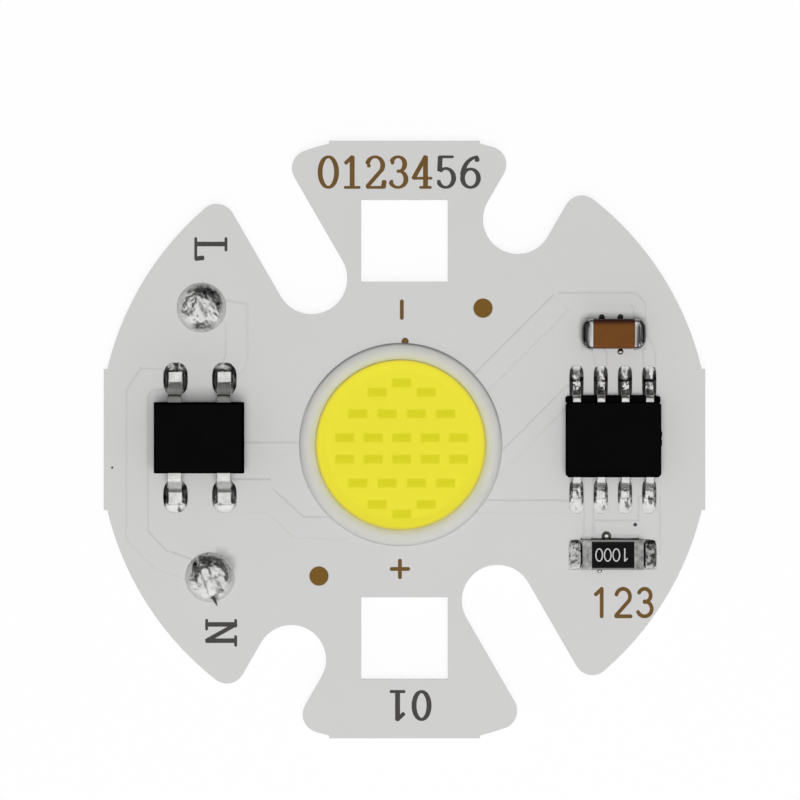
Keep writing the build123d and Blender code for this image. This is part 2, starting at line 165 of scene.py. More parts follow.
class ArraySettings(bpy.types.PropertyGroup):
    gel_color: color_setting("Gel", (0.79, 0.72, 0.036), "Phosphor gel")
    chip_color: color_setting(
        "Gel over a chip", (0.665, 0.615, 0.012), "Gel where a chip lies close under it"
    )
    gel_rim_color: color_setting(
        "Gel rim", (0.58, 0.43, 0.07), "Thin brown line where the gel meets the dam"
    )
    gold_color: color_setting("Bond wires", (0.80, 0.62, 0.20), "Gold of the wires in the gel")
    silicone_color: color_setting("Silicone", (0.605, 0.605, 0.59), "Milky silicone of the dam")
    # Painted light: the yellow that the gel lends the dam beside it
    gel_glow_color: color_setting(
        "Stain", (0.66, 0.66, 0.20), "Yellow light that the dam takes from the gel"
    )
    # Painted shadow: the dark line along the northern part of the dam's outer foot
    foot_shadow_color: color_setting(
        "Dirt line", (0.25, 0.25, 0.25), "Dark line at the outer foot of the dam"
    )
    dam_width: length_setting("Dam width", 1.04, "Width of the bead of silicone")
    dam_crest: share_setting("Dam crest", 0.78, "Height of the bead as a share of its room")
    # Reach and strength of the painted yellow light in the dam
    gel_glow_reach: length_setting("Stain reach", 0.22, "How far the stain goes into the dam")
    gel_glow_share: share_setting("Stain strength", 0.8, "Strength of the stain beside the gel")
    chip_relief: length_setting("Chip relief", 0.006, "How far the gel rises over a chip")
    meniscus: length_setting("Meniscus", 0.09, "How far the gel climbs the dam")


class SolderSettings(bpy.types.PropertyGroup):
    solder_color: color_setting("Solder", (0.80, 0.80, 0.79), "Bright solder")
    # Dark of flux residue and oxide in solder creases, also used for painted shade and dark
    # reflection on solder and for the painted shadow beside the resistor
    residue_shade_color: color_setting(
        "Residue", (0.05, 0.05, 0.05), "Flux residue and oxide in the creases of solder"
    )
    skirt_color: color_setting(
        "Skirt", (0.57, 0.57, 0.565), "Dull pale rim where a dome of solder thins out"
    )
    # Painted shade: grey half way up the rectifier's leads on its shaded side
    slope_shade_color: color_setting(
        "Lead slopes", (0.42, 0.42, 0.415), "Duller tin half way up the bridge rectifier's leads"
    )
    # Painted shade and reflection: dark on the rectifier's lead shoulders and the driver's lead
    # slopes
    shaded_tin_color: color_setting(
        "Dark tin", (0.21, 0.21, 0.205),
        "Tin of the rectifier's lead shoulders and of the driver's lead slopes",
    )
    lead_color: color_setting("Leads", (0.72, 0.72, 0.71), "Tinned leads")
    fillet_wrinkle: length_setting(
        "Joint wrinkles", 0.022, "Height of the wrinkles on a lead's solder joint"
    )
    dome_wrinkle: length_setting(
        "Dome wrinkles", 0.075, "Height of the folds on the wire pads' solder"
    )


class PartSettings(bpy.types.PropertyGroup):
    moulding_color: color_setting("Moulding", (0.0014, 0.0014, 0.0014), "Black moulded bodies")
    moulding_sheen: share_setting(
        "Moulding sheen", 0.045, "Strength of the sheen on a body's upper faces"
    )
    ceramic_color: color_setting("Brown ceramic", (0.145, 0.054, 0.0115), "Body of the capacitor")
    # Painted shade: the colour the ceramic darkens to at its north edge, for the shade on that side
    ceramic_shade_color: color_setting(
        "Ceramic edge", (0.021, 0.004, 0.001), "Scorched edge of the capacitor's body"
    )
    coat_color: color_setting(
        "Resistor coat", (0.002, 0.002, 0.002), "Black coat over the resistive film"
    )
    alumina_color: color_setting(
        "Resistor base", (0.22, 0.22, 0.215), "Soiled alumina beside the coat"
    )
    digit_color: color_setting(
        "Resistor digits", (0.52, 0.52, 0.52), "Plain number on the resistor"
    )
    terminal_color: color_setting(
        "Terminals", (0.36, 0.36, 0.355), "Tinned ends of the chip resistor"
    )
    edge_rounding: length_setting(
        "Edge rounding", 0.04, "Small rounding on moulded and plated edges"
    )


class StudioSettings(bpy.types.PropertyGroup):
    camera_height: length_setting("Camera height", 280.3, "Camera above the board's back face")
    camera_aim: bpy.props.FloatVectorProperty(
        name="Camera aim", description="Point of the board under the camera", subtype="XYZ_LENGTH",
        unit="LENGTH", size=2, default=(-0.236 * MM, 2.068 * MM), precision=5,
    )
    focal_length: level_setting("Focal length", 240, "Camera lens in millimetres", low=10)
    fill_level: level_setting("Fill level", 0.31, "Even light from all round")
    top_power: level_setting("Top lamp", 1.57, "Power of the soft lamp overhead in watts")
    front_power: level_setting(
        "Front lamp", 0.08, "Power of the soft lamp on the terminal side in watts"
    )


SETTINGS = {
    "led_board": BoardSettings,
    "led_array": ArraySettings,
    "led_solder": SolderSettings,
    "led_parts": PartSettings,
    "led_studio": StudioSettings,
}


# Meshes worked out as grids
def closed_mesh(name, points, faces, attributes=None, merge=1e-9, fill=False):
    """Smooth mesh of four-cornered faces. Its doubles are merged, its open ends filled if asked,
    and its faces turned outwards."""
    mesh = bpy.data.meshes.new(name)
    mesh.from_pydata(points.reshape(-1, 3).tolist(), [], faces.reshape(-1, 4).tolist())
    for label, values in (attributes or {}).items():
        layer = mesh.attributes.new(label, "FLOAT", "POINT")
        layer.data.foreach_set("value", values.reshape(-1).astype(np.float32))
    shell = bmesh.new()
    shell.from_mesh(mesh)
    bmesh.ops.remove_doubles(shell, verts=shell.verts, dist=merge)
    if fill:
        open_edges = [edge for edge in shell.edges if edge.is_boundary]
        bmesh.ops.holes_fill(shell, edges=open_edges, sides=0)
    bmesh.ops.recalc_face_normals(shell, faces=shell.faces)
    shell.to_mesh(mesh)
    shell.free()
    mesh.shade_smooth()
    return mesh


def mesh_from_grid(name, points, wrap_rows=False, attributes=None):
    """Closed mesh over a grid of points whose columns run round and join up. Rows that shrink to
    one point are merged into a pole, and with wrap_rows the last row joins the first."""
    rows, columns = points.shape[:2]
    index = np.arange(rows * columns).reshape(rows, columns)
    below = index if wrap_rows else index[:-1]
    above = np.roll(index, -1, axis=0) if wrap_rows else index[1:]
    corners = [below, np.roll(below, -1, axis=1), np.roll(above, -1, axis=1), above]
    return closed_mesh(name, points, np.stack(corners, axis=-1), attributes)


def add_piece(mesh, material, slot, *replaced):
    """Puts a mesh into the scene as a finished piece of the one rigid body."""
    piece = bpy.data.objects.new(mesh.name, mesh)
    bpy.context.scene.collection.objects.link(piece)
    mesh.materials.append(material)
    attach(piece, "root")
    if replaced:
        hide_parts(*replaced)


def turns(count):
    """Angles that go round once in equal steps."""
    return np.linspace(0, 2 * np.pi, count, endpoint=False)


def wrinkles(x, y, seed, wavelength, octaves=4):
    """Folded noise between -1 and 1: sums sines of random direction, each octave at twice the rate
    and half the height, with their phases bent by one another so that the folds wander."""
    random = np.random.default_rng(seed)
    total = np.zeros_like(x)
    weight = 0.0
    for octave in range(octaves):
        rate = 2 * np.pi * 2**octave / wavelength
        share = 0.55**octave
        for _ in range(3):
            turn, phase, bend = random.uniform(0, 2 * np.pi, 3)
            along = np.cos(turn) * x + np.sin(turn) * y
            across = np.cos(turn) * y - np.sin(turn) * x
            total += share * np.sin(rate * along + phase + 1.3 * np.sin(0.7 * rate * across + bend))
        weight += 3 * share
    return np.clip(2.2 * total / weight, -1, 1)


def ease(low, high, value):
    """Smooth step from 0 at low to 1 at high."""
    share = np.clip((value - low) / (high - low), 0, 1)
    return share * share * (3 - 2 * share)


def closed_below(top, base, centre):
    """Rows of a surface, then its rim drawn down to the base, then that drawn in to the centre."""
    rim = top[-1:].copy()
    rim[..., 2] = base
    foot = rim.copy()
    foot[..., :2] = centre[:2]
    return np.concatenate([top, rim, foot])


def below_rows(mask, value):
    """Attribute of a surface with one value for the two rows that close it below."""
    return np.pad(mask, ((0, 2), (0, 0)), constant_values=value)


def heap(name, centre, half, squareness, base, height, masks=None, rings=30, spokes=96):
    """Closed heap on a flat base. At share r of the way out its outline is the superellipse
    |x / a| ^ n + |y / b| ^ n = r ^ n, where n is the squareness. height(x, y, r) gives the surface
    over each point, and each of the masks gives an attribute in the same way."""
    share = 1 - np.linspace(1, 0, rings) ** 1.3
    r, angle = np.meshgrid(share, turns(spokes), indexing="ij")
    cos, sin = np.cos(angle), np.sin(angle)
    ray = (np.abs(cos) ** squareness + np.abs(sin) ** squareness) ** (-1 / squareness)
    x = r * half[0] * ray * cos
    y = r * half[1] * ray * sin
    top = np.stack([centre[0] + x, centre[1] + y, base + height(x, y, r)], axis=-1)
    attributes = {label: below_rows(mask(x, y, r), 1) for label, mask in (masks or {}).items()}
    return mesh_from_grid(name, closed_below(top, base, centre), attributes=attributes)


def heap_over(node, name, squareness, height, masks, rings, spokes):
    """Heap that stands on the bottom of a CAD node's box and fills its width and length."""
    low, high = node_box(node)
    half = (high - low)[:2] / 2
    return heap(name, (low + high) / 2, half, squareness, low[2], height, masks, rings, spokes)


def cushion(tall, bow, root=1.0):
    """Height of a heap that is flat in the middle and falls to its rim as (1 - r ^ bow) ^ root."""
    return lambda x, y, r: tall * (1 - r**bow) ** root


ELLIPSE = 2  # squareness of a heap with a round outline


# Shader nodes
def add_node(tree, kind, inputs=None, **settings):
    """Shader node with its settings. An input that is a socket is linked, and any other is set."""
    node = tree.nodes.new(f"ShaderNode{kind}")
    for label, value in settings.items():
        setattr(node, label, value)
    for label, value in (inputs or {}).items():
        if isinstance(value, bpy.types.NodeSocket):
            tree.links.new(value, node.inputs[label])
        else:
            node.inputs[label].default_value = value
    return node


def calculate(tree, operation, *values):
    """Result of a Math node over sockets and numbers."""
    return add_node(tree, "Math", dict(enumerate(values)), operation=operation).outputs[0]


def map_range(tree, value, start, end, low=0.0, high=1.0):
    """Smooth step of a value from start to end, as a socket between low and high."""
    spread = {"Value": value, "From Min": start, "From Max": end, "To Min": low, "To Max": high}
    return add_node(tree, "MapRange", spread, interpolation_type="SMOOTHSTEP").outputs["Result"]


def mixed_by(tree, factor, first, second):
    """Colour that goes from the first to the second, each a socket or three numbers, as the factor
    goes from 0 to 1."""
    first, second = (
        color if isinstance(color, bpy.types.NodeSocket) else (*color, 1)
        for color in (first, second)
    )
    inputs = {"Factor": factor, "A": first, "B": second}
    return add_node(tree, "Mix", inputs, data_type="RGBA").outputs["Result"]


def attribute(tree, label):
    return add_node(tree, "Attribute", attribute_name=label).outputs["Fac"]


def coordinate(tree, space, axis):
    """One axis of the object's place, of its normal or of the world's direction."""
    place = add_node(tree, "TexCoord").outputs[space]
    return add_node(tree, "SeparateXYZ", {0: place}).outputs[axis]


def mottle_group():
    """Cloudy mottle with a fine grain, as a shade near 1 and as a height between 0 and 1."""
    group = bpy.data.node_groups.new("mottle", "ShaderNodeTree")
    for label, default in (("Cloud scale", 300), ("Grain scale", 6000), ("Contrast", 0.05)):
        socket = group.interface.new_socket(label, in_out="INPUT", socket_type="NodeSocketFloat")
        socket.default_value = default
    for label in ("Shade", "Grain"):
        group.interface.new_socket(label, in_out="OUTPUT", socket_type="NodeSocketFloat")
    start = group.nodes.new("NodeGroupInput").outputs
    end = group.nodes.new("NodeGroupOutput").inputs
    place = add_node(group, "TexCoord").outputs["Object"]
    noises = []
    for scale, detail in ((start["Cloud scale"], 3), (start["Grain scale"], 2)):
        looks = {"Vector": place, "Scale": scale, "Detail": detail}
        noises.append(add_node(group, "TexNoise", looks).outputs["Fac"])
    cloud, grain = noises
    centred = calculate(group, "SUBTRACT", cloud, 0.5)
    shade = calculate(group, "MULTIPLY_ADD", centred, start["Contrast"], 1)
    group.links.new(shade, end["Shade"])
    group.links.new(grain, end["Grain"])
    return group


# Finishes
def new_finish(name, roughness, clouds=300, grain=6000, contrast=0.05, metallic=0.0, shine=0.5):
    """Material with a Principled shader and the shared mottle, whose clouds and grain are given by
    their scale; returns it with its nodes to hand."""
    material = bpy.data.materials.new(name)
    material.use_nodes = True
    tree = material.node_tree
    shader = tree.nodes["Principled BSDF"]
    shader.inputs["Roughness"].default_value = roughness
    shader.inputs["Metallic"].default_value = metallic
    shader.inputs["Specular IOR Level"].default_value = shine
    group = bpy.data.node_groups.get("mottle") or mottle_group()
    looks = {"Cloud scale": clouds, "Grain scale": grain, "Contrast": contrast}
    return material, tree, shader, add_node(tree, "Group", looks, node_tree=group)


def colored(material, tree, shader, mottle, color, bump, depth=0.01 * MM):
    """Finishes a material: colour times the mottle's shade, and the mottle's grain as a bump of
    the given strength and depth, if there is one."""
    shaded = {0: color, "Scale": mottle.outputs["Shade"]}
    base = add_node(tree, "VectorMath", shaded, operation="SCALE")
    tree.links.new(base.outputs[0], shader.inputs["Base Color"])
    if bump:
        relief = {"Height": mottle.outputs["Grain"], "Strength": bump, "Distance": depth}
        tree.links.new(add_node(tree, "Bump", relief).outputs[0], shader.inputs["Normal"])
    return material


def plain_finish(name, color, roughness, clouds, grain, contrast, bump, metallic=0.0, shine=0.5):
    """Finish of one colour with cloudy mottle and a fine grain that also gives its bump."""
    made = new_finish(name, roughness, clouds, grain, contrast, metallic, shine)
    return colored(*made, color, bump)


def solder_finish(name, looks, roughness, grain, bump):
    """Solder: mirror-bright metal, dark where flux residue lies on it and where shade and dark
    reflection are painted, and pale and dull where it thins out, as its attributes for residue
    with painted shade and for dullness say. A piece without them is bare bright metal."""
    made = new_finish(name, roughness, 1500, grain, 0.25, metallic=1.0)
    _, tree, shader, _ = made
    dull = attribute(tree, "dull")
    tinted = mixed_by(tree, attribute(tree, "residue_and_shade_mask"), looks.solder_color, looks.residue_shade_color)
    thinned = mixed_by(tree, dull, tinted, looks.skirt_color)
    for label, bright, pale in (("Roughness", roughness, 0.65), ("Metallic", 1, 0)):
        spread = add_node(tree, "MapRange", {"Value": dull, "To Min": bright, "To Max": pale})
        tree.links.new(spread.outputs[0], shader.inputs[label])
    return colored(*made, thinned, bump, 0.05 * MM)


def faded_finish(name, axis, stops, roughness, metallic, clouds, contrast, shine=0.5):
    """Finish whose colour goes from stop to stop, each a place on an object axis and a colour."""
    made = new_finish(name, roughness, clouds, contrast=contrast, metallic=metallic, shine=shine)
    tree = made[1]
    place = coordinate(tree, "Object", axis)
    (start, mixed), *others = stops
    for end, color in others:
        mixed = mixed_by(tree, map_range(tree, place, start, end), mixed, color)
        start = end
    return colored(*made, mixed, 0.06)


def moulding_finish(parts):
    """Black epoxy: matt on its drawn sides, with a thin sheen on the faces that look up."""
    made = new_finish("moulding", 0.6, 700, 9000, 0.5, shine=0.0)
    _, tree, shader, _ = made
    shader.inputs["Coat Roughness"].default_value = 0.35
    sheen = map_range(tree, coordinate(tree, "Normal", "Z"), 0.2, 0.9, 0.0, parts.moulding_sheen)
    tree.links.new(sheen, shader.inputs["Coat Weight"])
    return colored(*made, parts.moulding_color, 0.2)


def gel_finish(looks):
    """Phosphor gel: yellow, greener over the chips, with a thin brown line at the rim."""
    made = new_finish("phosphor_gel", 0.42, 500, 9000, 0.03, shine=0.25)
    tree = made[1]
    field = mixed_by(tree, attribute(tree, "chip"), looks.gel_color, looks.chip_color)
    return colored(*made, mixed_by(tree, attribute(tree, "rim"), field, looks.gel_rim_color), 0.05)


def silicone_finish(looks):
    """Milky silicone with painted yellow light from the gel beside it and a painted shadow along
    its outer foot.
    """
    made = new_finish("silicone", 0.45, 420, 4000, 0.06)
    _, tree, shader, _ = made
    shader.subsurface_method = "RANDOM_WALK"
    shader.inputs["Subsurface Weight"].default_value = 0.7
    shader.inputs["Subsurface Radius"].default_value = (0.6, 0.6, 0.5)
    shader.inputs["Subsurface Scale"].default_value = 0.8 * MM
    # Painted yellow light from the gel, then the painted shadow along the outer foot
    tinted = mixed_by(tree, attribute(tree, "stain"), looks.silicone_color, looks.gel_glow_color)
    foot_shadowed = mixed_by(tree, attribute(tree, "foot_shadow"), tinted, looks.foot_shadow_color)
    return colored(*made, foot_shadowed, 0.08, 0.02 * MM)


def copper_finish(looks):
    """Bare copper: brown on the two fiducial dots and tinned grey on the pads."""
    made = new_finish("bare_copper", 0.5, 1500, contrast=0.1, shine=0.2)
    tree = made[1]
    place = add_node(tree, "TexCoord").outputs["Object"]
    near = []
    for x, y in FIDUCIALS:
        away = {0: place, 1: (x * MM, y * MM, PAD_TOP)}
        distance = add_node(tree, "VectorMath", away, operation="DISTANCE").outputs["Value"]
        near.append(calculate(tree, "LESS_THAN", distance, 0.7 * MM))
    dots = calculate(tree, "MAXIMUM", *near)
    return colored(*made, mixed_by(tree, dots, looks.tinned_color, looks.copper_color), 0.1)


def dress_node(node, material, rounding=0.0):
    """Gives a carried-over CAD node its finish and, if asked, small rounded edges."""
    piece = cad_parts[node]
    piece.data.materials.clear()
    piece.data.materials.append(material)
    if rounding:
        weld = piece.modifiers.new("weld", "WELD")
        weld.merge_threshold = 1e-7
        bevel = piece.modifiers.new("rounding", "BEVEL")
        bevel.width = rounding
        bevel.segments = 2
        bevel.limit_method = "ANGLE"
        bevel.angle_limit = np.radians(28)
        bevel.harden_normals = True


# The board
class LED_OT_finish_board(bpy.types.Operator):
    """Gives the layers of the board their finishes"""

    bl_idname = "led.finish_board"
    bl_label = "Finish the board"

    def execute(self, context):
        looks = context.scene.led_board
        metal = looks.metal_color
        core = plain_finish("core_metal", metal, 0.38, 900, 9000, 0.12, 0.2, metallic=1.0)
        laminate = plain_finish("laminate", looks.laminate_color, 0.6, 900, 6000, 0.1, 0.1)
        lacquer = plain_finish("lacquer", looks.lacquer_color, 0.5, 210, 7000, 0.035, 0.06)
        edge = plain_finish("lacquer_edge", looks.track_edge_color, 0.5, 210, 7000, 0.035, 0.06)
        dress_node("board_core", core)
        dress_node("dielectric_layer", laminate)
        dress_node("copper_layer", copper_finish(looks))
        dress_node("solder_mask", lacquer)
        add_piece(track_fillets(looks.fillet_width), edge, "mask")
        return {"FINISHED"}


def track_fillets(width):
    """Soft fillets at the foot of every raised track. Each upright wall of the raised lacquer
    gives one strip; across it the height falls from the wall's top by a smooth step over the
    width, and at the corners the strips meet on the mitre."""
    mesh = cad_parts["solder_mask"].data
    count = len(mesh.polygons)
    normals = np.empty(count * 3)
    mesh.polygons.foreach_get("normal", normals)
    normals = normals.reshape(-1, 3)
    index = np.empty(count * 3, dtype=np.int64)
    mesh.loops.foreach_get("vertex_index", index)
    corners = node_corners("solder_mask")[index].reshape(-1, 3, 3)
    tiny = 0.001 * MM
    # A wall stands on the mask and has two of its triangle's corners at the top of the relief
    stands = np.abs(corners[..., 2].min(axis=1) - MASK_TOP) < tiny
    reaches = np.abs(corners[..., 2] - RELIEF_TOP) < tiny
    wall = (np.abs(normals[:, 2]) < 0.01) & stands & (reaches.sum(axis=1) == 2)
    corners, normals, reaches = corners[wall], normals[wall, :2], reaches[wall]
    ends = corners[reaches].reshape(-1, 2, 3)[..., :2]
    # At each end the walls' normals are summed and counted, which gives the mitre
    keys = np.round(ends.reshape(-1, 2) / tiny).astype(np.int64)
    keys, place = np.unique(keys, axis=0, return_inverse=True)
    place = place.reshape(-1)
    counted = np.concatenate([normals, np.ones((len(normals), 1))], axis=1)
    total = np.zeros((len(keys), 3))
    np.add.at(total, place, np.repeat(counted, 2, axis=0))
    length = (total[:, :2] ** 2).sum(axis=1, keepdims=True)
    mitre = (total[:, :2] * total[:, 2:] / np.maximum(length, 0.8))[place].reshape(-1, 2, 2)
    across = np.linspace(0, 1, 7)
    fall = (RELIEF_TOP - MASK_TOP) * (1 - ease(0, 1, across))
    fall[-1] = -0.5 * tiny
    spread = ends[:, :, None, :] + width * across[:, None] * mitre[:, :, None, :]
    height = np.broadcast_to(MASK_TOP + fall, spread.shape[:-1])
    slope = np.concatenate([spread, height[..., None]], axis=-1)
    foot = slope[:, :, :1].copy()
    foot[..., 2] = MASK_TOP - 0.5 * tiny
    section = np.concatenate([slope, foot], axis=2)
    number = np.arange(section.size // 3).reshape(section.shape[:3])
    near, far = number[:, 0], number[:, 1]
    around = [near, far, np.roll(far, -1, axis=1), np.roll(near, -1, axis=1)]
    faces = np.stack(around, axis=-1)
    result = closed_mesh("lacquer_fillets", section, faces, merge=0.2 * tiny, fill=True)
    result.set_sharp_from_angle(angle=np.radians(45))
    return result


# The array
class LED_OT_add_dam(bpy.types.Operator):
    """Lays the silicone dam as a smooth bead round the array"""

    bl_idname = "led.add_dam"
    bl_label = "Add the dam"

    def execute(self, context):
        looks = context.scene.led_array
        low, high = node_box("dam_ring")
        centre = (low + high) / 2
        outer = (high[0] - low[0]) / 2
        inner = outer - looks.dam_width
        phi, theta = np.meshgrid(turns(64), turns(240), indexing="ij")
        # Across the bead, the way out follows the cosine and the height the sine to the power
        # 1.25, and both waver a little round the ring
        half_width = looks.dam_width / 2 * (1 - 0.012 * (1 + np.sin(3 * theta + 0.8)))
        bead = (outer + inner) / 2 + half_width * np.cos(phi)
        crest = looks.dam_crest * (high[2] - low[2]) * (1 - 0.02 * (1 + np.cos(2 * theta)))
        rise = np.where(np.sin(phi) > 0, crest, 0.02 * MM)
        height = low[2] + rise * np.sign(np.sin(phi)) * np.abs(np.sin(phi)) ** 1.25
        points = [centre[0] + bead * np.cos(theta), centre[1] + bead * np.sin(theta), height]
        # The painted yellow light from the gel dies away outwards, and a painted shadow lies along
        # the northern part of the outer foot
        past = np.clip(bead - inner - 0.1 * MM, 0, None)
        outside = ease(outer - 0.17 * MM, outer - 0.03 * MM, bead)
        masks = {
            "stain": looks.gel_glow_share * np.exp(-past / looks.gel_glow_reach),
            "foot_shadow": outside * ease(-0.15, 0.95, np.sin(theta + 0.15 * np.sin(5 * theta))),
        }
        mesh = mesh_from_grid("silicone_dam", np.stack(points, axis=-1), True, masks)
        add_piece(mesh, silicone_finish(looks), "silicone", "dam_ring")
        return {"FINISHED"}


class LED_OT_add_gel(bpy.types.Operator):
    """Fills the dam with gel that swells over each chip and climbs at the rim"""

    bl_idname = "led.add_gel"
    bl_label = "Add the gel"

    def execute(self, context):
        looks = context.scene.led_array
        low, high = node_box("phosphor_gel")
        dam_low, dam_high = node_box("dam_ring")
        centre = (dam_low + dam_high) / 2
        radius = (dam_high[0] - dam_low[0]) / 2 - 0.87 * looks.dam_width
        rings = np.concatenate([np.linspace(0, 0.93, 84), np.linspace(0.94, 1, 22)])
        share, theta = np.meshgrid(rings, turns(360), indexing="ij")
        x = centre[0] + radius * share * np.cos(theta)
        y = centre[1] + radius * share * np.sin(theta)
        # A smooth step over each chip's edge makes its mask. The height is the fill, plus the
        # relief over the chips, plus the meniscus by a smooth step near the rim
        centres, half_length, half_width = chip_rectangles()
        beyond_x = np.abs(x[..., None] - centres[:, 0]) - half_length
        beyond_y = np.abs(y[..., None] - centres[:, 1]) - half_width
        soft = 0.05 * MM
        chip = ease(-soft, soft, -np.maximum(beyond_x, beyond_y)).max(axis=-1)
        rise = high[2] + looks.chip_relief * chip + looks.meniscus * ease(0.86, 1.0, share)
        points = closed_below(np.stack([x, y, rise], axis=-1), low[2], centre)
        rim = 0.45 * ease(0.962, 0.992, share)
        masks = {"chip": below_rows(chip, 0), "rim": below_rows(rim, 1)}
        mesh = mesh_from_grid("gel_fill", points, attributes=masks)
        add_piece(mesh, gel_finish(looks), "gel", "phosphor_gel")
        chips = plain_finish("chip_crystal", looks.chip_color, 0.2, 900, 6000, 0.05, 0.02)
        gold = plain_finish(
            "gold_wire", looks.gold_color, 0.25, 900, 6000, 0.05, 0.02, metallic=1.0
        )
        dress_node("led_chips", chips)
        dress_node("bond_wires", gold)
        return {"FINISHED"}


# The moulded bodies, their leads and joints
class LED_OT_finish_bodies(bpy.types.Operator):
    """Finishes the moulded bodies and their leads"""

    bl_idname = "led.finish_bodies"
    bl_label = "Finish bodies and leads"

    def execute(self, context):
        parts = context.scene.led_parts
        solder = context.scene.led_solder
        moulding = moulding_finish(parts)
        dress_node("rectifier_body", moulding, parts.edge_rounding)
        dress_node("driver_body", moulding, 2.5 * parts.edge_rounding)
        bright, slope, dark = solder.lead_color, solder.slope_shade_color, solder.shaded_tin_color
        # Colours at shares of the way up from the foot, for the sides of a body given by outward.
        # The grey and dark bands are painted shade and reflection on the leads' slopes and bends,
        # and the rectifier's shaded and lit sides get separate copies. On the rectifier's lit side
        # only the heel of a lead is dark
        lit = ((0, bright), (0.05, dark), (0.2, dark), (0.45, bright))
        tins = (
            ("rectifier_tin", "rectifier", (1,), ((0, bright), (0.5, slope), (1, dark))),
            ("rectifier_tin_lit", "rectifier", (-1,), lit),
            ("driver_tin", "driver", (1, -1), ((0, bright), (0.5, dark), (1, bright))),
        )
        for name, body, sides, shares in tins:
            numbers = [number for number in lead_numbers(body) if outward_of(body, number) in sides]
            first = f"{body}_lead_{numbers[0]}"
            foot = foot_top(first, outward_of(body, numbers[0]))
            rise = node_box(first)[1][2] - foot
            stops = [(foot + share * rise, color) for share, color in shares]
            tin = faded_finish(name, "Z", stops, 0.25, metallic=1.0, clouds=2600, contrast=0.7)
            for number in numbers:
                dress_node(f"{body}_lead_{number}", tin, 0.6 * parts.edge_rounding)
        self.add_shadow_block_and_flash(moulding)
        return {"FINISHED"}

    def add_shadow_block_and_flash(self, moulding):
        """Black block under the driver's northern leads that paints the body's shadow on the board,
        and three bits of flash on its east side, as shares of the way north along it and half
        lengths in millimetres."""
        low, high = node_box("driver_body")
        place = ((low[0] + high[0]) / 2, high[1] + 0.11 * MM)
        half = ((high[0] - low[0]) / 2 - 0.01 * MM, 0.24 * MM)
        tall = (high[2] - low[2]) / 2 - 0.2 * MM
        # The block stands in for the body's shadow between the northern leads
        lip = cushion(tall, 12, 0.5)
        mesh = heap("driver_shadow_block", place, half, 6, low[2], lip, rings=24, spokes=160)
        add_piece(mesh, moulding, "moulding")
        bulge = cushion(0.08 * MM, 2)
        parting = (low[2] + high[2]) / 2
        for number, (along, length) in enumerate(((0.57, 0.2), (0.48, 0.1), (0.44, 0.12)), 1):
            name = f"driver_flash_{number}"
            place = (high[0] - 0.01 * MM, low[1] + along * (high[1] - low[1]))
            half = (0.05 * MM, length * MM)
            mesh = heap(name, place, half, ELLIPSE, parting, bulge, rings=8, spokes=24)
            add_piece(mesh, moulding, "moulding")


def joint_shape(lead, pad, outward, cover, fine, wrinkle, seed):
    """Height and dark mask of a lead's solder joint. Its height is full beside the foot and climbs
    the heel, and out to the rim it falls as left / (away + left) to the power 1.1, where away is
    the way to the foot and left the way on to the rim. Dark lies along the sides, at the heel and,
    on the shaded side of a body, round the toe: residue in the creases, painted dark reflection on
    the steep sides, and painted shade that is heavier on the shaded side. fine is 1 for the
    driver's slim joints and 0 for the others."""
    lead_low, lead_high = node_box(lead)
    pad_low, pad_high = node_box(pad)
    centre = (pad_low + pad_high) / 2
    half_lead = (lead_high[0] - lead_low[0]) / 2
    offset = (lead_low[0] + lead_high[0]) / 2 - centre[0]
    half = (pad_high[:2] - pad_low[:2]) / 2
    toe = (lead_high[1] - centre[1]) if outward > 0 else (centre[1] - lead_low[1])
    full = cover * (foot_top(lead, outward) - pad_low[2])
    heel = toe - 2.2 * half_lead
    shaded = 1 if outward > 0 else 0

    def off_foot(x, y):
        outside_x = np.clip(np.abs(x - offset) - half_lead, 0, None)
        return np.hypot(outside_x, np.clip(outward * y - toe, 0, None))

    def height(x, y, r):
        left = (1 - r) * np.minimum(half[0], half[1]) + 1e-9
        hollow = (left / (off_foot(x, y) + left)) ** 1.1
        climb = np.clip(-(outward * y - toe + 2.6 * half_lead) / (2.2 * half_lead), 0, 1)
        rough = wrinkle * wrinkles(x, y, seed, 1.5 * half[0], 3) * np.clip(3 * (1 - r), 0, 1)
        return np.clip(full * (1 + 1.6 * climb) * hollow + rough * (0.25 + 0.75 * hollow), 0, None)

    def residue_and_shade_mask(x, y, r):
        # Terms that follow shaded paint shade on a body's north side, and the outline on the steep
        # sides is painted reflection
        along = outward * y / half[1]
        at_toe = ease(0.3, 0.9, along) * (0.15 + 0.65 * shaded * (1 - fine))
        patchy = 0.7 + 0.15 * fine + 0.1 * shaded + 0.4 * wrinkles(x, y, seed + 7, half[0], 3)
        back = 1 - (0.8 + 0.2 * fine) * (1 - shaded) * ease(-0.1, 0.35, along)
        deep = 0.12 * fine * shaded
        outline = ease(0.70 - 0.25 * fine - deep, 0.92 - 0.1 * fine - deep, r)
        outline *= np.maximum(ease(0.3, 0.7, np.abs(x) / half[0]) * back, at_toe) * patchy
        heel_line = (outward * y - heel) / ((0.13 + 0.06 * fine) * half[1])
        heel_band = (0.8 + 0.2 * fine) * np.exp(-(heel_line**2)) * (1 - 0.4 * shaded)
        foot_line = np.exp(-(((off_foot(x, y) - 0.07 * MM) / (0.05 * MM)) ** 2))
        foot_line *= 0.95 - 0.45 * max(fine, 1 - shaded)
        foot_line *= 0.8 + 0.3 * wrinkles(x, y, seed + 9, 1.2 * half[0], 2)
        streaks = wrinkles(x, y / 2.2, seed + 3, 1.5 * half[0], 3)
        reach = 0.25 - 0.95 * fine * shaded
        tinted = ease(reach, reach + 0.8, streaks) * ease(0.95, 0.55, fine * along)
        lines = np.maximum(np.maximum(outline, heel_band), foot_line)
        return np.clip(lines + 0.8 * tinted, 0, 1)

    return height, {"residue_and_shade_mask": residue_and_shade_mask}


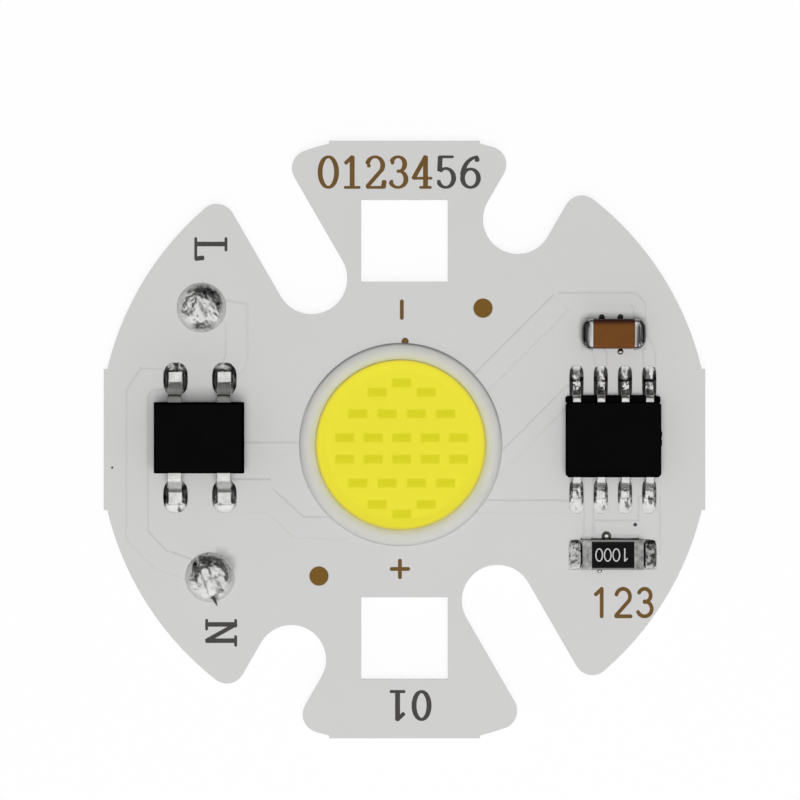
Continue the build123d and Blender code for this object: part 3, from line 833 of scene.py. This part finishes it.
class LED_OT_add_joints(bpy.types.Operator):
    """Heaps a solder joint round every lead's foot"""

    bl_idname = "led.add_joints"
    bl_label = "Add the lead joints"

    def execute(self, context):
        looks = context.scene.led_solder
        solder = solder_finish("joint_solder", looks, 0.16, 4500, 0.03)
        # How much of the foot's height the solder covers, whether it is slim, and its squareness
        for body, cover, fine, square in (("rectifier", 0.86, 0, 2.7), ("driver", 1.03, 1, 4)):
            for number in lead_numbers(body):
                lead, pad = f"{body}_lead_{number}", f"{body}_solder_{number}"
                outward = outward_of(body, number)
                seed = 11 * number + LEAD_COUNTS[body]
                shape = joint_shape(lead, pad, outward, cover, fine, looks.fillet_wrinkle, seed)
                name = f"{body}_joint_{number}"
                mesh = heap_over(pad, name, square, *shape, rings=36, spokes=112)
                add_piece(mesh, solder, "solder", pad)
        return {"FINISHED"}


# Residue and painted dark reflection on the folded domes: seed and patches, each an ellipse as x,
# y, long half axis, short half axis, heading in degrees and strength, with lengths in radii of the
# dome
DOMES = {
    "live": (
        5,
        (
            (0.22, 0.64, 0.52, 0.27, -14, 1.0), (-0.26, 0.80, 0.34, 0.13, 22, 0.6),
            (-0.21, 0.33, 0.22, 0.05, -80, 0.7), (0.04, -0.02, 0.32, 0.09, -62, 0.75),
            (0.20, -0.20, 0.22, 0.07, 82, 0.65), (0.66, 0.15, 0.10, 0.08, 0, 1.0),
            (0.49, 0.07, 0.22, 0.035, -60, 0.6), (-0.18, -0.37, 0.05, 0.05, 0, 0.7),
            (-0.50, 0.30, 0.16, 0.06, 10, 0.5), (0.31, -0.69, 0.26, 0.12, -28, 0.6),
            (-0.14, -0.78, 0.11, 0.08, 0, 0.6), (0.25, -0.95, 0.16, 0.04, 6, 0.6),
            (0.66, -0.31, 0.16, 0.06, -50, 0.4),
        ),
    ),
    "neutral": (
        23,
        (
            (-0.59, 0.50, 0.22, 0.13, -82, 1.0), (-0.28, 0.73, 0.30, 0.12, -30, 0.9),
            (0.00, 0.56, 0.26, 0.09, -50, 0.8), (-0.05, 0.30, 0.30, 0.05, -66, 0.75),
            (-0.57, 0.04, 0.30, 0.05, -86, 0.8), (-0.40, 0.15, 0.22, 0.05, -62, 0.7),
            (-0.20, -0.32, 0.45, 0.04, -72, 0.6), (-0.50, -0.20, 0.16, 0.07, -30, 0.55),
            (0.12, 0.00, 0.22, 0.06, -8, 0.65), (0.29, 0.01, 0.09, 0.08, 0, 0.8),
            (0.35, -0.25, 0.32, 0.07, -64, 0.65), (0.43, -0.53, 0.22, 0.10, -30, 0.8),
            (0.18, -0.86, 0.15, 0.10, 0, 1.0), (0.29, -0.74, 0.16, 0.10, 60, 0.7),
            (0.32, 0.61, 0.36, 0.20, -20, 0.5), (0.72, 0.44, 0.22, 0.06, -50, 0.65),
            (-0.11, 0.94, 0.32, 0.04, 4, 0.9), (-0.80, 0.60, 0.26, 0.03, 50, 0.75),
        ),
    ),
}


def dark_patches_on(x, y, radius, seed, patches):
    """Cover of the dark patches between 0 and 1, residue with painted dark reflection: each fades
    outwards over its ellipse, and folded noise bends their outlines."""
    bend_x = x / radius + 0.045 * wrinkles(x, y, seed + 1, 0.7 * radius, 3)
    bend_y = y / radius + 0.045 * wrinkles(x, y, seed + 2, 0.7 * radius, 3)
    cover = np.zeros_like(x)
    for px, py, long, short, heading, strength in patches:
        turn = np.radians(heading)
        along = (bend_x - px) * np.cos(turn) + (bend_y - py) * np.sin(turn)
        across = (bend_y - py) * np.cos(turn) - (bend_x - px) * np.sin(turn)
        away = np.hypot(along / long, across / short)
        cover = np.maximum(cover, strength * ease(1.55, 0.35, away))
    return cover


def dome_shape(radius, top, wrinkle, seed, patches):
    """Height, dark patches and dull skirt of a wire pad's dome; the patches are residue with
    painted dark reflection. Its height is top times (1 - r ^ 2.6) to the power 0.9, plus folds that
    fade at
    the rim: noise, less a dip where the dark patches lie."""

    def height(x, y, r):
        body = top * (1 - r**2.6) ** 0.9
        folds = 0.5 * wrinkles(x, y, seed, 0.9 * radius, 3)
        folds -= 0.3 * dark_patches_on(x, y, radius, seed, patches)
        return np.clip(body + wrinkle * folds * ease(1, 0.7, r), 0, 1.15 * top)

    def residue_and_shade_mask(x, y, r):
        grain = 0.2 * wrinkles(x, y, seed + 5, 0.3 * radius, 3)
        cover = dark_patches_on(x, y, radius, seed, patches)
        return np.clip(cover * (0.8 + grain) + 0.6 * np.clip(grain, 0, 1), 0, 1)

    def dull(x, y, r):
        edge = r + 0.07 * wrinkles(x, y, seed + 4, 0.9 * radius, 2)
        return ease(0.9, 1.0, edge) * (1 - 0.9 * residue_and_shade_mask(x, y, r))

    return height, {"residue_and_shade_mask": residue_and_shade_mask, "dull": dull}


def tail_shape(centre, radius):
    """Thin tail of solder: a circle carried along a bent path, thinning to a point at its end. Its
    first ring is drawn in to the ring's centre."""
    way, around = np.meshgrid(np.linspace(0, 1, 24), turns(14), indexing="ij")
    thick = 0.085 * MM * (1 - way**2.5)
    x = centre[0] + radius * (0.08 + 0.22 * way**0.8) + thick * np.cos(around)
    y = centre[1] + radius * (-0.78 - 0.42 * way)
    z = MASK_TOP + radius * (0.05 + 0.14 * (1 - way) ** 1.5) + thick * np.sin(around)
    points = np.stack([x, y, z], axis=-1)
    start = np.broadcast_to(points[:1].mean(axis=1, keepdims=True), points[:1].shape)
    return np.concatenate([start, points])


class LED_OT_add_domes(bpy.types.Operator):
    """Puts a folded dome of solder on each wire pad"""

    bl_idname = "led.add_domes"
    bl_label = "Add the wire pad domes"

    def execute(self, context):
        looks = context.scene.led_solder
        solder = solder_finish("folded_solder", looks, 0.3, 5000, 0.1)
        for name, (seed, patches) in DOMES.items():
            pad = f"{name}_solder"
            low, high = node_box(pad)
            tall = 0.82 * (high[2] - low[2])
            shape = dome_shape((high[0] - low[0]) / 2, tall, looks.dome_wrinkle, seed, patches)
            mesh = heap_over(pad, f"{name}_dome", ELLIPSE, *shape, rings=84, spokes=220)
            add_piece(mesh, solder, "solder", pad)
        # The neutral dome has a tail and a painted shadow beside it
        low, high = node_box("neutral_solder")
        centre = (low + high) / 2
        radius = (high[0] - low[0]) / 2
        residue = plain_finish(
            "strand_residue", looks.residue_shade_color, 0.5, 2500, 9000, 0.5, 0.1, shine=0.2
        )
        add_piece(mesh_from_grid("neutral_strand", tail_shape(centre, radius)), residue, "solder")
        self.add_painted_shadow(centre, radius, context.scene.led_board.lacquer_color)
        return {"FINISHED"}

    def add_painted_shadow(self, centre, radius, board_color):
        """Thin flat film beside a dome, darkest at its middle: a painted shadow of the dome on the
        board.
        """
        made = new_finish("dome_shadow_film", 0.5)
        tint = [0.36 * value for value in board_color]
        mixed = mixed_by(made[1], attribute(made[1], "film"), board_color, tint)

        # The painted shadow is darkest in the middle and fades to its rim
        def film(x, y, r):
            return 0.8 * ease(1.0, 0.35, r + 0.12 * wrinkles(x, y, 61, radius, 2))

        place = centre + np.array([0.5, 0.52, 0]) * radius
        half = (0.66 * radius, 0.72 * radius)
        flat = cushion(0.004 * MM, 4)
        masks = {"film": film}
        mesh = heap("dome_shadow_smudge", place, half, ELLIPSE, MASK_TOP, flat, masks, 40, 72)
        add_piece(mesh, colored(*made, mixed, bump=0), "mask")


# The chip parts
def end_cap(name, inner, outer, low, high, seed):
    """Closed cap of solder over one end of the capacitor. At share t of the way from its inner
    face to its tip its section is an arch cut off at the board. The arch's width shrinks as
    (1 - t^2.5)^(1/2.5) and its height as (1 - t^5)^(1/5), less some folded noise. Dark lies at
    the tip, down the sides and in streaks: residue, with painted dark reflection on the steep tip
    and sides."""
    spokes = 112
    width_bow, height_bow, arch = 2.5, 5.0, 1 / 3
    way = np.sin(np.linspace(0, np.pi / 2, 40))
    t, angle = np.meshgrid(way, turns(spokes), indexing="ij")
    across = np.sign(np.cos(angle)) * np.abs(np.cos(angle)) ** arch
    up = np.clip(np.sin(angle), 0, None) ** arch
    rough = 0.012 * MM * (1 + wrinkles(3 * t, angle, 70 + seed, 2.4, 2)) * ease(0, 0.3, t)
    width = (high[1] - low[1]) / 2 * (1 - t**width_bow) ** (1 / width_bow)
    tall = (high[2] - low[2]) * (1 - t**height_bow) ** (1 / height_bow)
    x = inner + (outer - inner) * t
    y = (high[1] + low[1]) / 2 + width * across
    z = low[2] + np.clip(tall * up - rough, 0, None)
    points = np.stack([x, y, z], axis=-1)
    middle = points[:1].copy()
    middle[...] = (inner, (low[1] + high[1]) / 2, (low[2] + high[2]) / 2)
    # Dark on the steep sides and at the tip is painted reflection
    side = ease(0.75, 0.97, np.abs(np.cos(angle)))
    streaks = 0.25 * wrinkles(4 * t, 2 * angle, 80 + seed, 2.6, 3)
    tip = ease(0.12, 0.78, t + streaks * (0.3 + t))
    residue_and_shade_mask = np.clip(np.maximum(tip, side) + 0.42 + 0.8 * streaks, 0, 1)
    masks = {"residue_and_shade_mask": np.concatenate([np.zeros((1, spokes)), residue_and_shade_mask])}
    return mesh_from_grid(name, np.concatenate([middle, points]), attributes=masks)


class LED_OT_add_capacitor(bpy.types.Operator):
    """Finishes the capacitor's ceramic and caps its ends in solder"""

    bl_idname = "led.add_capacitor"
    bl_label = "Add the capacitor's ends"

    def execute(self, context):
        parts = context.scene.led_parts
        low, high = node_box("capacitor_body")
        # The ceramic darkens towards its north edge as painted shade of that side
        stops = (
            (high[1] - 0.42 * MM, parts.ceramic_color),
            (high[1] - 0.1 * MM, parts.ceramic_shade_color),
        )
        ceramic = faded_finish(
            "brown_ceramic", "Y", stops, 0.55, metallic=0, clouds=1200, contrast=0.3, shine=0.15
        )
        # The block of ceramic ends inside the caps, because they are rounder than the body's ends
        west = node_box("capacitor_terminal_west")[1][0]
        east = node_box("capacitor_terminal_east")[0][0]
        centre = ((west + east) / 2, (low[1] + high[1]) / 2)
        half = ((east - west) / 2 + 0.1 * MM, (high[1] - low[1]) / 2)
        block = cushion(high[2] - low[2], 24, 0.25)
        mesh = heap("capacitor_ceramic", centre, half, 14, low[2], block, rings=60, spokes=160)
        add_piece(mesh, ceramic, "brown_ceramic", "capacitor_body")
        solder = solder_finish("capped_solder", context.scene.led_solder, 0.18, 5200, 0.06)
        for seed, name in enumerate(("west", "east")):
            terminal, joint = f"capacitor_terminal_{name}", f"capacitor_solder_{name}"
            low = np.minimum(node_box(terminal)[0], node_box(joint)[0])
            high = np.maximum(node_box(terminal)[1], node_box(joint)[1])
            inner, outer = (high[0], low[0]) if name == "west" else (low[0], high[0])
            mesh = end_cap(f"capacitor_end_{name}", inner, outer, low, high, seed)
            add_piece(mesh, solder, "solder", terminal, joint)
        return {"FINISHED"}


def ramp_shape(pad, outward, seed, soiled):
    """Height and dark mask of the solder against a chip resistor's end. lean goes from 0 at the
    terminal to 1 at the outer rim, the height falls as (1 - lean) ^ 1.3, with folded noise, and
    residue lies in the corner by the terminal and in patches, with painted shade along the north
    side."""
    low, high = node_box(pad)
    half = (high[:2] - low[:2]) / 2
    tall = high[2] - low[2]

    def height(x, y, r):
        lean = (outward * x / half[0] + 1) / 2
        ramp = np.clip(1 - lean, 0, 1) ** 1.3 * 0.9 + 0.1
        rough = 0.014 * MM * wrinkles(x, y, 90 + seed, 0.8 * MM, 3) * np.clip(5 * (1 - r), 0, 1)
        return np.clip(tall * ramp * (1 - r**8) ** 0.7 + rough, 0, None)

    def residue_and_shade_mask(x, y, r):
        lean = (outward * x / half[0] + 1) / 2
        corner = 0.9 * ease(0.24, 0.08, lean)
        # Painted shade along the north side
        north = 0.85 * ease(0.55, 0.95, y / half[1])
        patches = ease(0.1 - soiled, 1.2 - soiled, wrinkles(x, y, 40 + seed, 0.6 * MM, 4))
        return np.clip(np.maximum(corner, north) + 0.6 * patches + 0.6 * soiled, 0, 1)

    def dull(x, y, r):
        clouds = 0.45 * wrinkles(x, y, 50 + seed, 0.4 * MM, 3)
        return np.clip(0.45 - 0.3 * soiled + clouds, 0, 0.9) * (1 - residue_and_shade_mask(x, y, r))

    return height, {"residue_and_shade_mask": residue_and_shade_mask, "dull": dull}


class LED_OT_add_resistor(bpy.types.Operator):
    """Finishes the resistor and heaps solder against its ends"""

    bl_idname = "led.add_resistor"
    bl_label = "Add the resistor's solder"

    def execute(self, context):
        parts = context.scene.led_parts
        looks = context.scene.led_solder
        solder = solder_finish("ramped_solder", looks, 0.2, 4500, 0.05)
        tin = plain_finish(
            "tinned_end", parts.terminal_color, 0.45, 3200, 6000, 2.2, 0.3, metallic=1.0
        )
        coat = plain_finish("black_coat", parts.coat_color, 0.4, 900, 9000, 0.3, 0.05, shine=0.1)
        alumina = plain_finish("alumina", parts.alumina_color, 0.6, 900, 9000, 0.25, 0.1)
        # Dark finish of the painted shadow strip along the resistor's north side
        residue = plain_finish(
            "resistor_shadow_finish", looks.residue_shade_color, 0.5, 2500, 9000, 0.6, 0.3, shine=0.1
        )
        dress_node("resistor_base", alumina)
        dress_node("resistor_film", coat)
        dress_node("resistor_coat", coat, 0.5 * parts.edge_rounding)
        # The eastern end is the more soiled one
        for seed, (name, outward, soiled) in enumerate((("west", -1, 0.0), ("east", 1, 0.35))):
            dress_node(f"resistor_terminal_{name}", tin, parts.edge_rounding)
            pad = f"resistor_solder_{name}"
            shape = ramp_shape(pad, outward, seed, soiled)
            mesh = heap_over(pad, f"resistor_ramp_{name}", 4, *shape, rings=44, spokes=132)
            add_piece(mesh, solder, "solder", pad)
        # Wavering dark strip along the north side: a painted shadow of the resistor
        low, high = node_box("resistor_base")
        x = np.linspace(low[0] - 0.1 * MM, high[0] + 0.35 * MM, 40)
        y = high[1] + 0.035 * MM + 0.008 * MM * np.sin(x / (0.21 * MM))
        path = np.stack([x, y], axis=-1)
        shadow_strip = pen_stroke(path, 0.09 * MM, 0, MASK_TOP, MASK_TOP + 0.03 * MM)
        add_piece(mesh_from_grid("resistor_shadow_strip", shadow_strip), residue, "solder")
        return {"FINISHED"}


# Marks drawn with a round pen
def line(x0, y0, x1, y1, points=12):
    return np.linspace((x0, y0), (x1, y1), points)


def arc(x, y, rx, ry, start, end, points=32):
    """Part of an ellipse between two angles in degrees."""
    angle = np.radians(np.linspace(start, end, points))
    return np.stack([x + rx * np.cos(angle), y + ry * np.sin(angle)], axis=-1)


GLYPHS = {
    "-": (line(-0.5, 0, 0.5, 0),),
    "+": (line(-0.5, 0, 0.5, 0), line(0, -0.5, 0, 0.5)),
    "L": (line(0.2, 0, 0.2, 1), line(0.2, 0, 0.68, 0)),
    "N": (line(0.14, 0, 0.14, 1), line(0.14, 1, 0.7, 0), line(0.7, 0, 0.7, 1)),
    "0": (arc(0.32, 0.5, 0.27, 0.5, 0, 360),),
    "1": (line(0.33, 0, 0.33, 1), line(0.33, 1, 0.12, 0.80)),
    "2": (
        arc(0.31, 0.72, 0.25, 0.28, 165, -35), line(0.515, 0.56, 0.06, 0.04), line(0.06, 0, 0.58, 0)
    ),
    "3": (arc(0.29, 0.76, 0.22, 0.24, 155, -90), arc(0.29, 0.27, 0.26, 0.27, 90, -155)),
    "4": (line(0.42, 0, 0.42, 1), line(0.42, 1, 0.03, 0.3), line(0.03, 0.3, 0.6, 0.3)),
    "5": (line(0.12, 1, 0.52, 1), line(0.12, 1, 0.1, 0.56), arc(0.3, 0.31, 0.26, 0.31, 130, -150)),
    "6": (arc(0.34, 0.3, 0.26, 0.3, 0, 360), arc(0.6, 0.36, 0.52, 0.64, 175, 95)),
}
SERIFS = {
    "L": (line(0.02, 1, 0.4, 1), line(0.02, 0, 0.2, 0), line(0.68, 0, 0.66, 0.24)),
    "N": (line(0.0, 1, 0.2, 1), line(0.0, 0, 0.3, 0), line(0.56, 1, 0.86, 1)),
    "0": (),
    "1": (line(0.1, 0, 0.56, 0),),
    "2": (line(0.58, 0.0, 0.61, 0.2), line(0.09, 0.7, 0.12, 0.72)),
    "3": (line(0.1, 0.82, 0.12, 0.80), line(0.06, 0.18, 0.09, 0.2)),
    "4": (line(0.26, 0, 0.58, 0),),
    "5": (line(0.06, 0.2, 0.09, 0.2),),
    "6": (line(0.55, 0.94, 0.56, 0.88),),
}


def pen_stroke(path, width, swell, low, high, upright=0.0):
    """Closed flat ribbon that follows a path with round ends. Its half width is that of a pen of
    the given width plus swell times the square of the sine between the stroke and the writing
    line, and near an end it falls off as the pen's circle does."""
    step = np.diff(path, axis=0)
    travel = np.concatenate([[0], np.cumsum(np.hypot(step[:, 0], step[:, 1]))])
    tangent = np.gradient(path, axis=0)
    reach = travel
    half = width / 2
    if np.allclose(path[0], path[-1]):
        tangent[0] = tangent[-1] = path[1] - path[-2]
    else:
        round_end = np.linspace(0, np.pi / 2, 7)
        before = -half * np.cos(round_end)[:-1]
        after = travel[-1] + half * np.sin(round_end)[1:]
        reach = np.concatenate([before, travel, after])
    inside = np.clip(reach, 0, travel[-1])
    over = reach - inside
    tangent /= np.hypot(tangent[:, 0], tangent[:, 1])[:, None]
    tx, ty = (np.interp(inside, travel, tangent[:, axis]) for axis in (0, 1))
    x, y = (np.interp(inside, travel, path[:, axis]) for axis in (0, 1))
    full = half + swell * np.sin(np.arctan2(ty, tx) - upright) ** 2
    breadth = (full * np.sqrt(np.clip(1 - (over / half) ** 2, 0, None)))[:, None]
    side = np.array([1, 1, -1, -1])
    x = (x + over * tx)[:, None] - ty[:, None] * breadth * side
    y = (y + over * ty)[:, None] + tx[:, None] * breadth * side
    return np.stack([x, y, np.broadcast_to([low, high, high, low], x.shape)], axis=-1)


def write_marks(
    name, text, start, size, pen, swell, turn, advance, material, slot, level, thickness
):
    """Row of glyphs as one flat piece. start is the lower left of the first glyph, turn its
    heading in degrees, and advance the way from one glyph to the next in glyph heights. Each
    stroke is a little thicker than the one before, so that no two tops lie in one plane."""
    heading = np.radians(turn)
    spin = np.array([[np.cos(heading), np.sin(heading)], [-np.sin(heading), np.cos(heading)]])
    shell = bmesh.new()
    for place, glyph in enumerate(text):
        strokes = GLYPHS[glyph] + (SERIFS[glyph] if swell else ())
        for number, path in enumerate(strokes):
            flat = np.array(start) + (path + np.array([place * advance, 0])) * size @ spin
            top = level + thickness * (1 + 0.12 * number)
            points = pen_stroke(flat, pen, swell, level, top, heading)
            closed = np.allclose(flat[0], flat[-1])
            part = mesh_from_grid("stroke", points[:-1] if closed else points, wrap_rows=closed)
            shell.from_mesh(part)
            bpy.data.meshes.remove(part)
    mesh = bpy.data.meshes.new(name)
    shell.to_mesh(mesh)
    shell.free()
    mesh.set_sharp_from_angle(angle=np.radians(45))
    add_piece(mesh, material, slot)


class LED_OT_add_marks(bpy.types.Operator):
    """Prints the plain signs, letters, numbers and dots on the board and the resistor"""

    bl_idname = "led.add_marks"
    bl_label = "Add the marks"

    def execute(self, context):
        looks = context.scene.led_board
        digit_color = context.scene.led_parts.digit_color
        brown_print, grey_print = (
            plain_finish(name, color, 0.5, 1500, 7000, 0.25, 0.1, shine=0.2)
            for name, color in (
                ("brown_print", looks.brown_mark_color), ("grey_print", looks.grey_mark_color)
            )
        )
        white_print = plain_finish("white_print", digit_color, 0.5, 1500, 7000, 0.1, 0.1)
        # Finish, slot and level of each kind of mark
        brown = (brown_print, "copper", MASK_TOP)
        grey = (grey_print, "film", MASK_TOP)
        white = (white_print, "coat", node_box("resistor_coat")[1][2])
        # Name, text, start, height, pen and swell in millimetres, heading, advance, and kind
        rows = (
            ("minus_mark", "-", (-0.14, 6.8), 0.87, 0.2, 0, 90, 1, brown),
            ("plus_mark", "+", (-0.24, -6.78), 0.87, 0.2, 0, 0, 1, brown),
            ("live_letter", "L", (-10.93, 10.55), 1.58, 0.15, 0.045, -90, 1, grey),
            ("neutral_letter", "N", (-10.36, -9.47), 1.52, 0.15, 0.045, -90, 1, grey),
            ("top_scale", "01234", (-4.5, 13.2), 1.6, 0.145, 0.055, 0, 0.77, brown),
            ("top_scale_end", "56", (1.68, 13.2), 1.6, 0.145, 0.055, 0, 0.77, grey),
            ("bottom_number", "01", (1.36, -13.2), 1.46, 0.16, 0.05, 180, 0.85, grey),
            ("side_number", "123", (9.85, -9.26), 1.44, 0.2, 0.0, 0, 0.80, brown),
            ("resistor_number", "1000", (11.72, -5.71), 0.64, 0.064, 0, 180, 0.70, white),
        )
        for name, text, start, size, pen, swell, turn, advance, kind in rows:
            write_marks(
                name, text, np.array(start) * MM, size * MM, pen * MM, swell * MM, turn, advance,
                *kind, looks.mark_thickness,
            )
        flat = cushion(looks.mark_thickness, 6)
        # Name, place and radius in millimetres, finish, slot and level
        dots = (
            ("via_dot", (0.03, 5.14), 0.19, *brown),
            ("driver_speck", (12.08, -4.46), 0.1, grey_print, "film", RELIEF_TOP),
            ("rim_speck", (-15.31, -1.47), 0.06, *grey),
        )
        for name, place, radius, material, slot, level in dots:
            half = (radius * MM, radius * MM)
            place = np.array(place) * MM
            mesh = heap(name, place, half, ELLIPSE, level, flat, rings=8, spokes=32)
            add_piece(mesh, material, slot)
        return {"FINISHED"}


class LED_OT_add_beads(bpy.types.Operator):
    """Scatters the small solder beads beside the chip parts"""

    bl_idname = "led.add_beads"
    bl_label = "Add the solder beads"

    def execute(self, context):
        solder = solder_finish("bead_solder", context.scene.led_solder, 0.12, 6000, 0.02)
        # Name, place and radius in millimetres, and the share of the radius that stays bright
        # before painted dark reflection darkens the rim
        beads = (
            ("bead_resistor", (10.57, -5.06), 0.26, 0.4),
            ("bead_resistor_south", (10.22, -6.87), 0.13, 0.5),
            ("bead_capacitor_west", (10.33, 6.41), 0.16, -0.5),
            ("bead_capacitor_east", (11.31, 6.41), 0.16, -0.5),
            ("bead_capacitor_south", (11.31, 4.60), 0.16, 0.4),
        )
        for name, place, radius, bright_share in beads:
            half = (radius * MM, radius * MM)
            ball = cushion(1.25 * radius * MM, 2, 0.5)
            # Painted dark reflection towards each bead's rim
            dark_rim = {"residue_and_shade_mask": lambda x, y, r, bright_share=bright_share: ease(bright_share, bright_share + 0.4, r)}
            place = np.array(place) * MM
            mesh = heap(name, place, half, ELLIPSE, MASK_TOP, ball, dark_rim, rings=20, spokes=48)
            add_piece(mesh, solder, "solder")
        return {"FINISHED"}


# The studio
WHITE = (1, 1, 1, 1)


class LED_OT_set_stage(bpy.types.Operator):
    """Sets the floor, the soft light and the camera over the board"""

    bl_idname = "led.set_stage"
    bl_label = "Set the stage"

    def execute(self, context):
        studio = context.scene.led_studio
        add_floor()
        light_world(context.scene, studio.fill_level)
        add_lamp("top_lamp", (0.01, -0.075, 0.46), (0.2, 0.2), studio.top_power)
        add_lamp("front_lamp", (0.0, -0.26, 0.16), (0.30, 0.16), studio.front_power)
        lens = bpy.data.cameras.new("photo_camera")
        lens.lens = studio.focal_length
        lens.sensor_width = 36
        lens.clip_start = 0.01
        lens.clip_end = 10
        camera = bpy.data.objects.new("photo_camera", lens)
        camera.location = (*studio.camera_aim, studio.camera_height)
        context.scene.collection.objects.link(camera)
        context.scene.camera = camera
        context.scene.view_settings.view_transform = "Standard"
        return {"FINISHED"}


def mix_shaders(tree, factor, first, second):
    return add_node(tree, "MixShader", {0: factor, 1: first.outputs[0], 2: second.outputs[0]})


def add_floor():
    """Pale floor under the board: white where the camera or a mirror sees it, with soft shadow,
    and clear from below, so that the back of the board can be looked at."""
    mesh = bpy.data.meshes.new("floor")
    reach, depth = 1.5, -0.01 * MM
    corners = [(-reach, -reach), (reach, -reach), (reach, reach), (-reach, reach)]
    mesh.from_pydata([(*corner, depth) for corner in corners], [], [(0, 1, 2, 3)])
    floor = bpy.data.objects.new("floor", mesh)
    bpy.context.scene.collection.objects.link(floor)
    material = bpy.data.materials.new("floor_white")
    material.use_nodes = True
    tree = material.node_tree
    tree.nodes.remove(tree.nodes["Principled BSDF"])
    # The floor is seen by the camera, or off or through a shiny surface
    path = add_node(tree, "LightPath").outputs
    mirrored = calculate(tree, "MAXIMUM", path["Is Camera Ray"], path["Is Glossy Ray"])
    seen = calculate(tree, "MAXIMUM", mirrored, path["Is Transmission Ray"])
    paint = add_node(tree, "BsdfDiffuse", {"Color": (0.92, 0.92, 0.92, 1)})
    glow = add_node(tree, "Emission", {"Color": WHITE})
    pale = mix_shaders(tree, calculate(tree, "MULTIPLY", seen, 0.88), paint, glow)
    below = add_node(tree, "NewGeometry").outputs["Backfacing"]
    both = mix_shaders(tree, below, pale, add_node(tree, "BsdfTransparent"))
    tree.links.new(both.outputs[0], tree.nodes["Material Output"].inputs["Surface"])
    mesh.materials.append(material)


def light_world(scene, level):
    """Even light from all round, white behind the object, and for mirrors a studio that is bright
    overhead and towards the terminals and dim low down on the other sides."""
    world = bpy.data.worlds.new("studio")
    scene.world = world
    world.use_nodes = True
    tree = world.node_tree
    even = tree.nodes["Background"]
    even.inputs["Color"].default_value = WHITE
    even.inputs["Strength"].default_value = level
    dim = 0.055
    overhead = map_range(tree, coordinate(tree, "Generated", "Z"), 0.45, 0.92, dim, 0.95)
    terminals = map_range(tree, coordinate(tree, "Generated", "Y"), -0.1, -0.6, dim, 1.0)
    brightest = calculate(tree, "MAXIMUM", overhead, terminals)
    mirror = add_node(tree, "Background", {"Color": WHITE, "Strength": brightest})
    backdrop = add_node(tree, "Background", {"Color": WHITE})
    path = add_node(tree, "LightPath").outputs
    for_mirrors = mix_shaders(tree, path["Is Glossy Ray"], even, mirror)
    for_camera = mix_shaders(tree, path["Is Camera Ray"], for_mirrors, backdrop)
    tree.links.new(for_camera.outputs[0], tree.nodes["World Output"].inputs["Surface"])


def add_lamp(name, place, size, power):
    """Rectangular soft lamp aimed at the board and left out of mirror reflections. Its place and
    size are in metres."""
    light = bpy.data.lights.new(name, "AREA")
    light.shape = "RECTANGLE"
    light.size, light.size_y = size
    light.energy = power
    lamp = bpy.data.objects.new(name, light)
    lamp.location = place
    lamp.visible_glossy = False
    lamp.rotation_mode = "QUATERNION"
    lamp.rotation_quaternion = (-lamp.location).to_track_quat("-Z", "Y")
    bpy.context.scene.collection.objects.link(lamp)


OPERATORS = (
    LED_OT_finish_board,
    LED_OT_add_dam,
    LED_OT_add_gel,
    LED_OT_finish_bodies,
    LED_OT_add_joints,
    LED_OT_add_domes,
    LED_OT_add_capacitor,
    LED_OT_add_resistor,
    LED_OT_add_marks,
    LED_OT_add_beads,
    LED_OT_set_stage,
)


class LED_PT_dresser(bpy.types.Panel):
    """Lists the steps that dress the module and the settings that they read"""

    bl_label = "LED Module"
    bl_idname = "LED_PT_dresser"
    bl_space_type = "VIEW_3D"
    bl_region_type = "UI"
    bl_category = "LED Module"

    def draw(self, context):
        layout = self.layout
        for operator in OPERATORS:
            layout.operator(operator.bl_idname)
        for owner, settings in SETTINGS.items():
            box = layout.box()
            for label in settings.__annotations__:
                box.prop(getattr(context.scene, owner), label)


CLASSES = (*SETTINGS.values(), *OPERATORS, LED_PT_dresser)


def register():
    for item in CLASSES:
        bpy.utils.register_class(item)
    for owner, settings in SETTINGS.items():
        setattr(bpy.types.Scene, owner, bpy.props.PointerProperty(type=settings))


def unregister():
    for owner in SETTINGS:
        delattr(bpy.types.Scene, owner)
    for item in reversed(CLASSES):
        bpy.utils.unregister_class(item)


def main():
    register()
    for operator in OPERATORS:
        group, action = operator.bl_idname.split(".")
        getattr(getattr(bpy.ops, group), action)()


if __name__ == "__main__":
    main()
